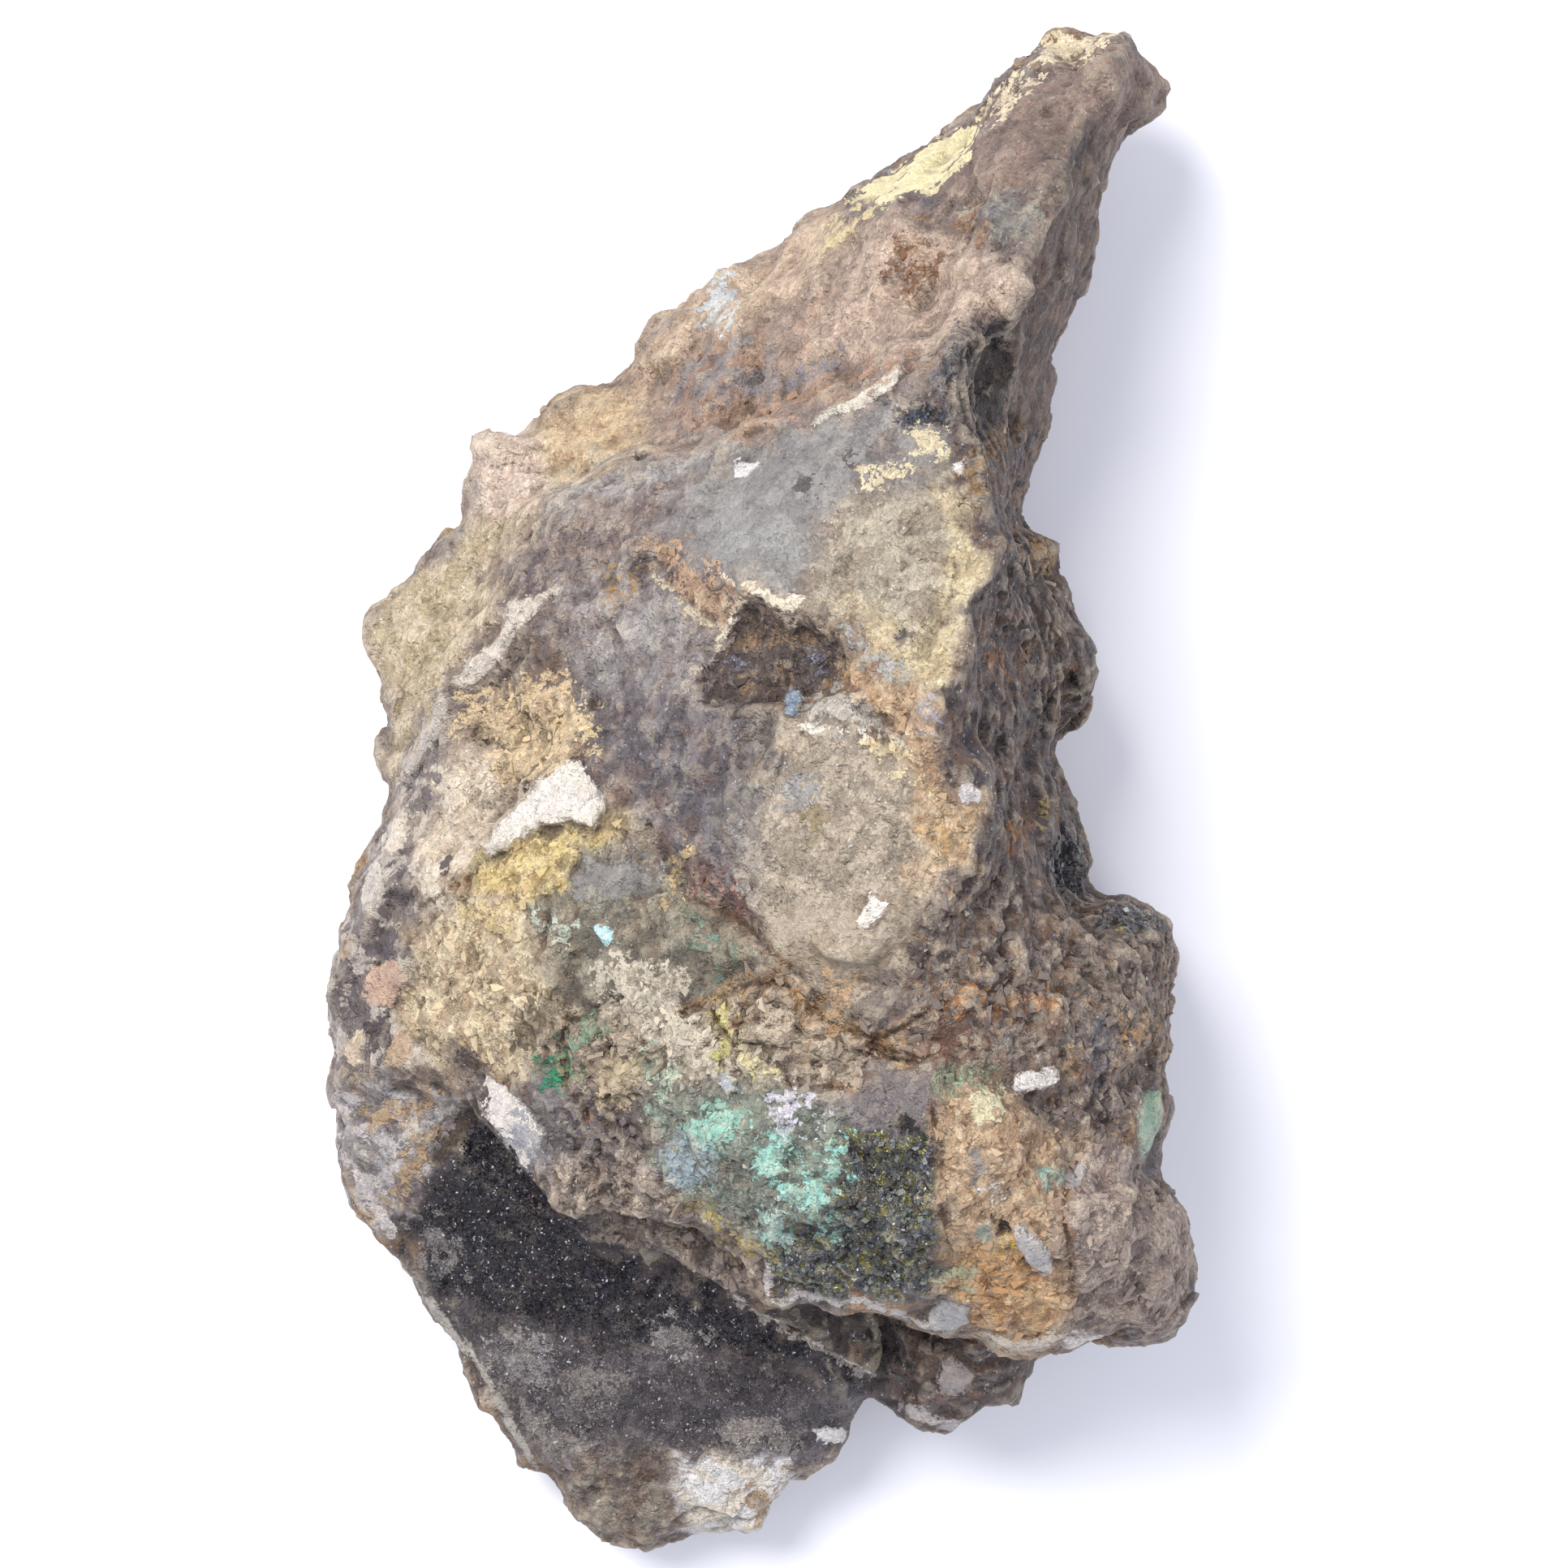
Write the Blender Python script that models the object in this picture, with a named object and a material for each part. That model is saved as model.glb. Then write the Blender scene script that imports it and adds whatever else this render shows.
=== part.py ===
"""A hand specimen of bournonite ore: one irregular piece of vein rock that lies on its broken underside.

It is built as the rock itself is layered. Four closed layers overlap and grow into one solid: the main mass
with its arm, crest and steep right flank, a thin shelf under its front lip, the big drusy plate below that,
and a small broken plate at the front right. Each layer is a rim, walked round once, and loose points that
lie on its upper and lower faces. The joined solid is then roughened, pitted, cracked and set down on a flat.

Frame: the rock rests on z = 0, +Z is up, +Y runs towards the tip of the arm, and the origin is the middle
of the resting face.
"""

import math

import bmesh
import bpy
from mathutils import Vector, noise
from mathutils.geometry import delaunay_2d_cdt

# Driving dimensions, in metres
LENGTH = 0.134  # from the tip of the arm to the front edge of the drusy plate
RIDGE_HEIGHT = 0.0009
RIDGE_WIDTH = 0.0062
CRACK_DEPTH = 0.0012
CRACK_WIDTH = 0.0032
VUG_DEPTH = 0.0024
POCKET_DEPTH = 0.0014
LUMP_HEIGHT = 0.0008  # of the broad waves that a hand feels
CHIP_SIZES = (0.0068, 0.0036)  # across the flat chips, coarse and fine
CHIP_LEANS = (0.19, 0.15)  # rise over run of the steepest chips
LUMP_SIZE = 0.009
GRAIN_SIZE = 0.0019
GRAIN_HEIGHT = 0.0003
VOXEL = 0.0009  # grain of the solid while it is one skin
CUT_TOLERANCE = 0.00001

# The survey below is in millimetres on a specimen of this length
SURVEY_LENGTH = 134.0
UNIT = LENGTH / SURVEY_LENGTH
CREST_HEIGHT = 48.0
UPPER_ROCK = 0.35  # share of the crest's height above which ridges, seams and vugs are worked

# Plan positions are as the eye sees them from straight above, so what lies nearer the eye is drawn in
EYE_HEIGHT = 420.0
PLAN_HEIGHT = 25.0

MOST_TRIANGLES = 10400  # before the cut, which takes some away
SHARP_EDGE = math.radians(28)
FACES_UP = 0.35  # least upward part of a normal that the eye sees well from above
QUIETEST = 0.85  # share of the chipping that a worn facet is spared
VUG_FLARE = 1.5  # a vug's mouth against its radius
CELL_SPREAD = 37.0  # sets neighbouring chips' directions apart
ROCK_COLOUR = (0.23, 0.19, 0.15, 1.0)
ROCK_ROUGHNESS = 0.85

# Each stretch of a rim is a name, the upper height at its first and last point, the height of the blunt
# edge below them, and its plan points, clockwise round the rock
MAIN_RIM = [
    ("arm tip", 19, 17, 8, [(27.7, 61.9), (28.9, 60.3), (30.0, 58.3), (30.8, 58.0), (31.3, 56.3), (30.2, 54.9),
                            (28.6, 54.1), (27.4, 53.3)]),
    ("arm, right", 18, 14, 9, [(27.2, 51.5), (26.4, 49.8), (25.3, 48.2), (25.0, 44.0), (24.3, 41.3),
                               (23.5, 38.8), (22.4, 36.3), (21.7, 34.0), (21.5, 31.0), (21.0, 28.3),
                               (20.1, 25.3), (19.3, 22.5)]),
    ("flank lumps", 14, 14, 9, [(19.8, 21.2), (22.0, 19.9), (22.4, 18.9), (21.9, 17.4), (23.4, 15.8),
                                (23.5, 14.5), (24.1, 13.0), (24.9, 10.2), (25.0, 8.0), (24.8, 6.0),
                                (23.6, 5.0), (22.2, 3.4), (22.1, 2.0), (23.6, -1.0), (24.4, -4.4),
                                (24.8, -7.0)]),
    ("block", 16, 25, 13, [(25.2, -9.5), (27.8, -9.4), (29.4, -9.8), (30.8, -10.9), (31.8, -13.5),
                           (31.4, -16.0), (31.2, -19.0), (31.6, -21.3), (31.1, -23.0), (31.5, -26.5),
                           (31.3, -28.5), (30.2, -31.3)]),
    ("lobe", 27, 30, 12, [(30.8, -33.1), (32.2, -34.2), (33.0, -35.5), (33.3, -38.5), (33.3, -41.5),
                          (32.8, -43.8), (32.0, -45.0), (30.2, -45.4), (27.5, -45.1), (25.0, -45.2),
                          (23.2, -46.3), (20.5, -46.7), (17.2, -46.2), (15.4, -44.9)]),
    ("front lip", 33, 32, 4, [(13.0, -44.9), (10.3, -43.8), (8.8, -43.1), (6.3, -42.7), (4.0, -42.2),
                              (1.8, -42.0), (-0.8, -42.8), (-1.6, -40.4), (-3.8, -38.7), (-6.2, -37.3),
                              (-9.0, -35.6)]),
    ("left lip", 31, 24, 2.6, [(-11.0, -35.3), (-13.0, -34.8), (-14.8, -35.4), (-17.2, -34.9), (-19.8, -33.3),
                               (-21.8, -30.8), (-25.3, -27.0), (-25.4, -25.0), (-28.0, -24.2)]),
    ("quartz band", 19, 16, 8, [(-34.0, -24.6), (-36.9, -24.3), (-36.9, -22.5), (-37.4, -19.5),
                                (-37.0, -17.0), (-36.4, -14.3), (-36.3, -12.0), (-35.4, -9.5),
                                (-34.7, -6.7), (-33.3, -3.5), (-32.3, -0.8)]),
    ("back slope, left", 9, 8, 6, [(-33.0, 1.5), (-32.9, 4.0), (-32.6, 7.0), (-33.3, 9.0), (-34.7, 10.9),
                                   (-34.1, 13.2), (-33.0, 14.6), (-31.3, 16.6), (-29.0, 18.2),
                                   (-28.0, 20.0), (-26.0, 20.9), (-25.6, 22.5), (-26.0, 25.0),
                                   (-25.4, 28.5), (-23.5, 29.1), (-21.0, 28.7)]),
    ("back slope", 8, 13, 7, [(-20.4, 30.6), (-18.5, 32.0), (-16.0, 32.4), (-13.6, 33.0), (-12.4, 34.4),
                              (-11.6, 36.8), (-9.8, 38.6), (-6.6, 40.6), (-5.0, 42.2), (-2.5, 42.7),
                              (-0.6, 43.8), (0.3, 45.4), (2.3, 47.2), (4.6, 48.1)]),
    ("painted edge", 14, 17, 8, [(8.0, 50.0), (11.0, 52.0), (14.0, 54.1), (17.0, 57.0), (20.0, 59.8),
                                 (21.6, 61.1), (23.2, 61.7), (25.2, 61.3), (26.8, 62.1)]),
]

MAIN_TOP = {
    "arm": [(27.0, 60.0, 25), (25.5, 57.0, 27), (23.5, 53.0, 29.5), (21.8, 48.0, 32), (20.4, 43.5, 34.5),
            (21.0, 58.2, 23.5), (17.0, 54.0, 23.5), (14.6, 50.8, 24.5), (9.6, 48.2, 23.5), (6.0, 46.0, 21),
            (19.0, 52.5, 28), (16.0, 46.5, 30), (29.2, 57.0, 21), (26.3, 54.5, 24.5), (24.4, 50.0, 25),
            (23.6, 46.0, 25.5), (22.6, 42.0, 26.5), (21.0, 38.0, 25), (19.4, 36.2, 28)],
    "back slope": [(0.0, 41.0, 18.5), (5.0, 41.0, 24), (10.2, 42.2, 28.5), (10.0, 45.5, 26.5), (12.5, 38.5, 31),
                   (16.5, 41.5, 34.5), (18.6, 39.4, 36.5), (-5.0, 37.5, 16.5), (-7.0, 33.0, 17),
                   (0.0, 35.5, 22.5), (5.0, 36.0, 27), (10.0, 36.6, 31.3), (5.8, 33.3, 27.5),
                   (1.5, 31.8, 24.5), (-4.0, 30.4, 21), (-10.0, 28.0, 17.5), (-15.5, 26.4, 15.5),
                   (-20.0, 23.8, 13.6), (-23.0, 20.0, 12.6)],
    "left apron": [(-27.3, 17.0, 10.6), (-30.0, 12.5, 11), (-30.3, 6.5, 9.6), (-23.3, 25.0, 11.6),
                   (-19.0, 28.5, 10), (-14.5, 30.3, 12), (-25.0, 15.0, 12.4), (-27.6, 11.0, 11.2),
                   (-29.8, 7.8, 10.8), (-31.2, 3.0, 10.4), (-23.4, 27.0, 11.8)],
    "upper edge": [(15.0, 35.6, 39.5), (13.3, 36.8, 37), (10.2, 34.8, 35.8), (6.2, 32.1, 34.5),
                   (2.5, 30.5, 33), (-2.0, 29.0, 31), (-6.0, 27.4, 29), (-10.5, 25.9, 26.8),
                   (-15.0, 24.3, 26), (-18.8, 21.6, 25.4), (-21.4, 18.0, 24.4), (-23.2, 13.7, 22.8),
                   (-25.7, 10.8, 21.6), (-28.0, 8.0, 20.4), (-29.4, 5.0, 19.4), (-30.3, 2.0, 18.6)],
    "upper facet": [(0.0, 25.0, 38), (5.0, 28.0, 39), (10.0, 31.0, 40.2), (8.0, 22.0, 42.5),
                    (0.0, 19.5, 41), (-6.0, 21.5, 36.5), (12.0, 26.0, 42.6), (-2.0, 16.3, 42)],
    "crest": [(14.2, 33.0, 41.3), (15.4, 29.0, 42.6), (16.6, 24.5, 44), (17.4, 19.8, 45), (16.4, 17.0, 46),
              (15.0, 14.0, 47), (14.5, 10.0, 48), (12.6, 6.0, 48.6), (12.7, 2.0, 48.6), (16.8, -0.6, 47.4),
              (16.0, -4.5, 47.6), (14.8, -7.0, 47.6), (12.0, -10.0, 47.4), (10.3, -14.0, 46.6),
              (8.6, -17.0, 46), (5.6, -19.0, 44.8)],
    "grey face": [(-19.0, 15.0, 26.8), (-17.0, 19.0, 27.5), (-12.5, 21.3, 31), (-15.5, 10.0, 31),
                  (-10.0, 15.0, 35.2), (-8.0, 10.0, 37), (-10.0, 4.0, 37.8), (-5.0, 17.0, 38.8),
                  (-13.0, 1.0, 36.6)],
    "tan face": [(0.0, 2.0, 44.4), (6.0, 3.0, 46.8), (9.8, -2.0, 48), (4.0, -5.0, 46.4), (-3.0, -6.0, 43.6),
                 (-5.0, 0.0, 42), (7.5, -10.5, 47.2), (3.0, -13.5, 46), (-1.0, -11.0, 45)],
    "rough pocket": [(-1.5, 10.5, 41.6), (2.0, 9.0, 43), (-4.0, 8.5, 40.4)],
    "quartz knob": [(-17.4, 2.1, 34.2), (-19.6, -0.6, 33), (-15.6, -3.2, 35.2), (-22.0, -1.4, 30),
                    (-25.6, -4.0, 26.8), (-27.4, 1.0, 23.4), (-24.0, 1.6, 25.2)],
    "vuggy ochre": [(-22.6, 8.6, 26.4), (-20.0, 5.6, 28.8), (-16.4, 6.8, 31.6), (-23.6, 4.6, 24.6),
                    (-26.4, 6.4, 21.4)],
    "yellow slope": [(-24.0, -6.8, 30), (-19.4, -5.0, 33.2), (-12.8, -4.0, 36.8), (-10.2, -7.6, 38.4),
                     (-19.0, -11.0, 34.6), (-26.0, -11.0, 29.4), (-29.6, -13.8, 25.8), (-14.0, -11.0, 37.2),
                     (-7.6, -12.0, 40.6), (-3.0, -14.6, 43), (0.5, -17.4, 43.8), (-29.8, -19.8, 24.6),
                     (-22.0, -18.0, 32), (-15.0, -17.6, 36.8), (-9.6, -18.4, 40), (-26.0, -22.8, 27),
                     (-20.4, -23.6, 31.4), (-15.4, -23.4, 35), (-31.4, -8.0, 22.4), (-33.6, -14.0, 20),
                     (-34.4, -20.0, 18.6)],
    "green bulge": [(-10.0, -24.0, 39.2), (-4.6, -22.6, 42.4), (0.6, -21.6, 43.6), (5.6, -23.0, 44.6),
                    (10.4, -24.0, 45.2), (-5.0, -29.6, 41.6), (0.0, -29.6, 43.8), (5.2, -30.0, 44.8),
                    (10.0, -30.6, 45.2), (12.6, -35.6, 43.8), (-10.0, -29.6, 38), (-15.4, -29.4, 33.6),
                    (-19.4, -29.4, 30), (-0.4, -34.6, 41.4), (5.0, -36.0, 41.8), (9.6, -38.6, 40.6),
                    (-5.4, -33.6, 38.4), (-9.4, -33.2, 35.4), (-14.4, -32.8, 31.6), (1.2, -39.6, 36.6),
                    (6.4, -40.4, 37), (11.6, -42.4, 36.4), (-2.0, -37.8, 36.4)],
    "ochre front": [(15.4, -26.0, 45.6), (17.0, -31.0, 45), (15.6, -37.0, 43.2), (17.4, -41.0, 40.8),
                    (21.0, -41.4, 39.8), (22.6, -36.4, 41.6), (18.4, -44.6, 36), (23.0, -44.0, 36.4),
                    (22.4, -30.4, 42.8), (20.4, -27.0, 44)],
    "lobe": [(26.0, -33.4, 40), (30.0, -36.4, 36.8), (26.6, -39.4, 38.8), (31.0, -41.0, 34.8),
             (28.4, -43.6, 34.8)],
    "rusty block": [(12.6, -20.4, 45.4), (17.6, -22.0, 44.2), (21.6, -24.8, 42.6), (25.0, -20.4, 39.6),
                    (20.0, -15.0, 41.4), (14.8, -14.0, 44.8), (27.0, -25.0, 38.4), (29.8, -27.4, 35.2),
                    (28.0, -15.0, 35), (30.2, -12.8, 31.4), (26.4, -11.2, 32.6), (30.2, -20.0, 33.6),
                    (23.6, -12.4, 35.8)],
    "right flank": [(18.4, -4.0, 41.6), (17.4, -9.6, 42.8), (20.4, -8.0, 36.4), (22.6, -9.6, 31),
                    (21.6, -4.4, 31), (23.4, -5.6, 23), (19.8, 0.2, 33.6), (22.0, -0.6, 25), (17.6, 4.0, 37.6),
                    (20.4, 5.6, 28), (16.8, 8.6, 41), (18.8, 9.0, 34), (21.6, 9.8, 26.4), (22.2, 6.2, 18.6),
                    (24.0, 8.0, 20), (23.6, 11.6, 20.4), (21.0, 14.4, 27.4), (18.6, 14.4, 35),
                    (22.4, 15.2, 21), (19.2, 19.2, 33), (21.0, 18.6, 22), (18.0, 24.0, 32)],
    "dark hollow": [(16.0, 35.0, 31.5), (17.6, 36.6, 31), (16.8, 31.0, 31), (18.6, 32.4, 26),
                    (18.4, 28.0, 26), (20.2, 33.4, 20.5), (19.8, 28.4, 18.4)],
}

# The resting face lies below z = 0 here, and is cut flat at the end. The front underside climbs to the lip
MAIN_UNDER = {
    "seat": [(-21.0, 14.0, -2), (-9.0, 22.0, -2), (2.0, 32.0, -2), (11.0, 36.0, -1.5), (13.0, 20.0, -2),
             (15.0, 2.0, -2), (19.0, -14.0, -2), (14.0, -28.0, -2), (0.0, -26.0, -2), (-14.0, -20.0, -2),
             (-26.0, -12.0, -2), (-24.0, 2.0, -2)],
    "under the arm": [(17.0, 44.0, 2), (22.0, 54.0, 6)],
    "under the lobe": [(25.0, -26.0, 6), (27.0, -38.0, 16), (20.0, -38.0, 14)],
    "under the lip": [(10.0, -38.5, 28), (3.0, -37.5, 28), (-5.0, -33.5, 27.5), (-13.0, -30.5, 25),
                      (-20.5, -28.5, 22.5), (5.0, -32.0, 14), (-10.0, -26.0, 12), (-22.0, -22.0, 10)],
}

SHELF_RIM = [
    ("left edge", 23.6, 23.2, 2.4, [(-21.6, -31.2), (-17.8, -35.6), (-15.2, -37.9), (-13.8, -38.6)]),
    ("splinter", 23, 24.4, 2.2, [(-13.0, -38.2), (-11.2, -39.7), (-10.4, -38.8), (-9.6, -37.7)]),
    ("front edge", 25, 23, 2.4, [(-8.0, -39.0), (-5.8, -40.6), (-4.4, -42.0), (-3.3, -42.3), (-1.0, -44.3),
                                 (1.4, -45.8), (4.2, -47.4), (6.2, -48.5), (7.9, -49.4)]),
    ("hidden edge", 25, 24, 2.4, [(8.4, -44.0), (8.6, -35.0), (-2.0, -28.0), (-14.0, -25.0), (-21.0, -26.0)]),
]
SHELF_TOP = {"middle": [(-2.0, -39.0, 26), (4.0, -43.5, 25.5), (-13.0, -33.0, 25)]}

PLATE_RIM = [
    ("quartz wing", 16, 13, 5, [(-36.6, -21.0), (-37.4, -24.8), (-37.2, -27.0), (-36.5, -30.0), (-35.6, -31.8),
                                (-34.8, -34.8), (-33.0, -37.6)]),
    ("long edge", 13, 9, 5, [(-31.6, -39.4), (-30.0, -42.0), (-27.6, -45.8), (-25.2, -49.8), (-22.6, -53.4),
                             (-20.8, -56.2), (-19.4, -56.3)]),
    ("front tongue", 8, 10, 5, [(-18.6, -58.0), (-17.5, -60.4), (-15.0, -61.8), (-11.4, -62.7), (-8.0, -61.8),
                                (-3.4, -60.9), (-0.6, -59.6), (0.3, -58.0), (0.8, -56.2), (3.0, -55.3)]),
    ("right edge", 11, 15, 6, [(4.6, -54.0), (5.2, -52.0), (6.2, -50.7), (8.0, -49.4)]),
    ("hidden edge", 19, 19, 16, [(9.0, -40.0), (4.0, -28.0), (-12.0, -18.0), (-28.0, -16.0)]),
]
PLATE_TOP = {
    "drusy face": [(-26.4, -28.0, 20), (-29.6, -33.4, 17), (-20.0, -36.0, 19.6), (-10.0, -42.0, 19.4),
                   (0.0, -47.4, 18.4), (5.0, -49.6, 17), (-22.0, -46.0, 15.6), (-12.0, -50.0, 15.6),
                   (-2.0, -53.0, 14), (-17.0, -55.6, 11.8), (-10.0, -58.0, 11.4), (-3.6, -57.6, 11.6)],
    "wing face": [(-31.0, -27.6, 19), (-34.6, -27.4, 17), (-28.0, -24.0, 21)],
}
PLATE_UNDER = {
    "foot": [(-24.0, -24.0, -2), (-20.0, -36.0, -2), (-10.0, -46.0, -2), (0.0, -44.0, -2), (2.0, -34.0, -2)],
}

CHIP_RIM = [
    ("front edge", 15, 20, 6, [(8.1, -49.6), (8.4, -51.9), (9.8, -51.4), (11.6, -52.4), (14.6, -52.2),
                               (17.0, -50.6), (18.7, -49.8), (19.9, -47.6), (20.2, -45.0)]),
    ("hidden edge", 24, 20, 8, [(19.0, -36.0), (9.0, -36.0), (8.2, -44.0)]),
]
CHIP_TOP = {"face": [(12.0, -47.0, 21.5), (16.5, -46.4, 23.5)]}

# Worn facets and the quiet drusy plate, where the rock isn't chipped: a plan centre and a reach
QUIET_PLACES = [
    ("upper facet", 4, 22, 13),
    ("grey face", -11, 10, 9),
    ("tan face", 3, -4, 12),
    ("plate, upper part", -14, -46, 15),
    ("plate, tongue", -6, -53, 12),
]

# Crisp ridges between the facets, seen from above, as plan points
RIDGES = {
    "crest": [(14.6, 33.6), (15.8, 29.0), (17.2, 24.5), (17.9, 19.8), (16.9, 16.8), (15.4, 13.6), (14.9, 9.6),
              (13.5, 6.0), (13.2, 2.0), (16.8, -0.6), (16.4, -4.5), (14.8, -7.6), (12.0, -10.6), (10.2, -14.6)],
    "upper edge": [(15.0, 35.4), (10.2, 34.2), (6.2, 31.6), (2.5, 30.0), (-2.0, 28.4), (-6.0, 26.8),
                   (-10.5, 25.4), (-15.0, 23.8), (-18.8, 21.2), (-21.4, 17.8), (-23.2, 13.5), (-25.7, 10.6),
                   (-28.0, 7.8), (-29.4, 4.8), (-31.0, 1.0)],
    "facet edge": [(-9.0, 18.6), (-5.6, 16.4), (-2.2, 15.6), (3.0, 14.6), (7.4, 12.0), (11.4, 8.2)],
    "front edge": [(-16.4, -33.2), (-9.6, -34.4), (-4.4, -37.0), (-0.8, -41.4), (4.4, -40.8), (9.6, -42.0),
                   (16.0, -43.6)],
    "arm": [(15.6, 36.4), (18.6, 40.0), (20.6, 44.6), (22.4, 49.6), (24.6, 54.4), (27.2, 59.0)],
}

# Open seams that show from a step away, as plan points, and vugs, as a plan centre and a radius
CRACKS = {
    "across the green": [(-10.6, -18.6), (-7.4, -17.0), (-4.4, -15.6), (-1.2, -14.8), (1.6, -16.6),
                         (4.2, -19.4), (8.0, -20.8), (11.6, -21.4)],
    "below it": [(-1.0, -22.6), (3.0, -23.6), (6.0, -22.4), (9.6, -22.6)],
    "red seam": [(-11.0, -5.0), (-8.2, -9.4), (-4.6, -11.0), (-1.6, -14.2)],
    "lobe seam": [(13.6, -23.6), (17.4, -24.4), (21.4, -25.6), (25.0, -29.4), (24.4, -32.6)],
    "block step": [(24.6, -9.0), (24.0, -12.6), (26.6, -16.6)],
    "arm bench": [(15.6, 47.6), (12.4, 44.0), (8.6, 42.4)],
}
VUGS = [
    ("ochre vug", -22.4, 4.8, 1.9),
    ("ochre vug, small", -24.8, 4.0, 1.3),
    ("knob socket", -24.2, -0.8, 2.2),
    ("arm pocket", 10.0, 41.6, 2.2),
    ("flank cave", 21.8, 6.0, 1.9),
    ("flank hole", 23.8, 8.6, 1.2),
]
ROUGH_POCKET = [(-6.9, 11.0), (-4.4, 14.2), (-2.6, 15.2), (-1.0, 13.8), (2.8, 13.0), (4.4, 10.8),
                (4.2, 8.4), (1.6, 6.0), (-1.0, 6.6), (-5.0, 6.4), (-7.0, 7.2)]


def clear_scene():
    for item in list(bpy.data.objects):
        bpy.data.objects.remove(item, do_unlink=True)


def place(x, y, height):
    """A survey point in metres: on the line of sight through (x, y), at its height."""
    drawn_in = (EYE_HEIGHT - height) / (EYE_HEIGHT - PLAN_HEIGHT)
    return Vector((x * drawn_in, y * drawn_in, height)) * UNIT


def plan_of(point):
    """The survey plan position, in millimetres, at which the eye sees a point of the solid."""
    height = point.z / UNIT
    drawn_out = (EYE_HEIGHT - PLAN_HEIGHT) / (EYE_HEIGHT - height)
    return point.x / UNIT * drawn_out, point.y / UNIT * drawn_out


def walk_rim(stretches):
    """(x, y, upper height, lower height) for each point of a rim."""
    rim = []
    for _, first, last, edge, points in stretches:
        for step, (x, y) in enumerate(points):
            upper = first + (last - first) * step / max(1, len(points) - 1)
            rim.append((x, y, upper, upper - edge))
    return rim


def skin(rim, loose):
    """Triangles over a rim and the loose points inside it: (points, faces, index of each rim point)."""
    survey = rim + loose
    flat = [Vector(point[:2]) for point in survey]
    edges = [(i, (i + 1) % len(rim)) for i in range(len(rim))]
    _, _, faces, sources, _, _ = delaunay_2d_cdt(flat, edges, [], 1, 1e-4)
    points = [place(*survey[source[0]]) for source in sources]
    where = {source: index for index, sources_here in enumerate(sources) for source in sources_here}
    return points, faces, [where[i] for i in range(len(rim))]


def all_points(groups):
    return [point for group in groups.values() for point in group]


def add_layer(mesh, stretches, top, under):
    """Adds one closed layer: its upper skin, its lower skin turned over, and the blunt edge between them."""
    rim = walk_rim(stretches)
    upper = skin([(x, y, high) for x, y, high, _ in rim], all_points(top))
    lower = skin([(x, y, low) for x, y, _, low in rim], all_points(under))
    loops = []
    for (points, faces, rim_index), turned in ((upper, False), (lower, True)):
        verts = [mesh.verts.new(point) for point in points]
        for face in faces:
            mesh.faces.new([verts[i] for i in (reversed(face) if turned else face)])
        loops.append([verts[i] for i in rim_index])
    above, below = loops
    for i in range(len(rim)):
        after = (i + 1) % len(rim)
        mesh.faces.new((above[i], above[after], below[after], below[i]))


def evaluated_copy(item, name):
    """The object's mesh with its modifiers applied."""
    graph = bpy.context.evaluated_depsgraph_get()
    mesh = bpy.data.meshes.new_from_object(item.evaluated_get(graph))
    mesh.name = name
    return mesh


def layered_solid():
    """All layers grown together into one skin of even grain."""
    mesh = bmesh.new()
    add_layer(mesh, MAIN_RIM, MAIN_TOP, MAIN_UNDER)
    add_layer(mesh, SHELF_RIM, SHELF_TOP, {})
    add_layer(mesh, PLATE_RIM, PLATE_TOP, PLATE_UNDER)
    add_layer(mesh, CHIP_RIM, CHIP_TOP, {})
    bmesh.ops.recalc_face_normals(mesh, faces=mesh.faces)
    data = bpy.data.meshes.new("layers")
    mesh.to_mesh(data)
    mesh.free()
    rock = bpy.data.objects.new("bournonite", data)
    bpy.context.scene.collection.objects.link(rock)
    grown = rock.modifiers.new("grown together", "REMESH")
    grown.mode = "VOXEL"
    grown.voxel_size = VOXEL
    joined = evaluated_copy(rock, "joined rock")
    rock.modifiers.clear()
    rock.data = joined
    return rock


def distance_to_line(x, y, line):
    """Plan distance, in millimetres, from a point to a line of short stretches."""
    nearest = math.inf
    for (ax, ay), (bx, by) in zip(line, line[1:]):
        run_x, run_y = bx - ax, by - ay
        along = ((x - ax) * run_x + (y - ay) * run_y) / (run_x * run_x + run_y * run_y)
        along = min(1.0, max(0.0, along))
        nearest = min(nearest, math.hypot(x - ax - along * run_x, y - ay - along * run_y))
    return nearest


def is_inside(x, y, outline):
    inside = False
    for (ax, ay), (bx, by) in zip(outline, outline[1:] + outline[:1]):
        if (ay > y) != (by > y) and x < ax + (y - ay) / (by - ay) * (bx - ax):
            inside = not inside
    return inside


def fade(distance, width):
    """1 on a line or centre, falling smoothly to 0 at a width from it."""
    nearness = max(0.0, 1.0 - distance / width)
    return nearness * nearness * (3.0 - 2.0 * nearness)


def chipped(point, size, lean):
    """Flat chips: within each cell of about this size the surface is one small plane that leans its own way."""
    spot = point / size
    _, centres = noise.voronoi(spot)
    way = noise.cell_vector(centres[0] * CELL_SPREAD) * 2.0 - Vector((1.0, 1.0, 1.0))
    return (spot - centres[0]).dot(way) * lean * size


def broken_surface(point, quiet):
    """How far the rock stands out here, in metres: broad lumps, and chips and grain where it isn't quiet."""
    lumps = noise.noise(point / LUMP_SIZE) * LUMP_HEIGHT
    chips = sum(chipped(point, size, lean) for size, lean in zip(CHIP_SIZES, CHIP_LEANS))
    grain = noise.noise(point / GRAIN_SIZE) * GRAIN_HEIGHT
    return lumps + (chips + grain) * (1.0 - quiet)


def quiet_share(x, y):
    """Near 1 on the worn facets and on the drusy plate, 0 on rough broken rock."""
    return QUIETEST * max(fade(math.hypot(x - cx, y - cy), reach) for _, cx, cy, reach in QUIET_PLACES)


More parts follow.
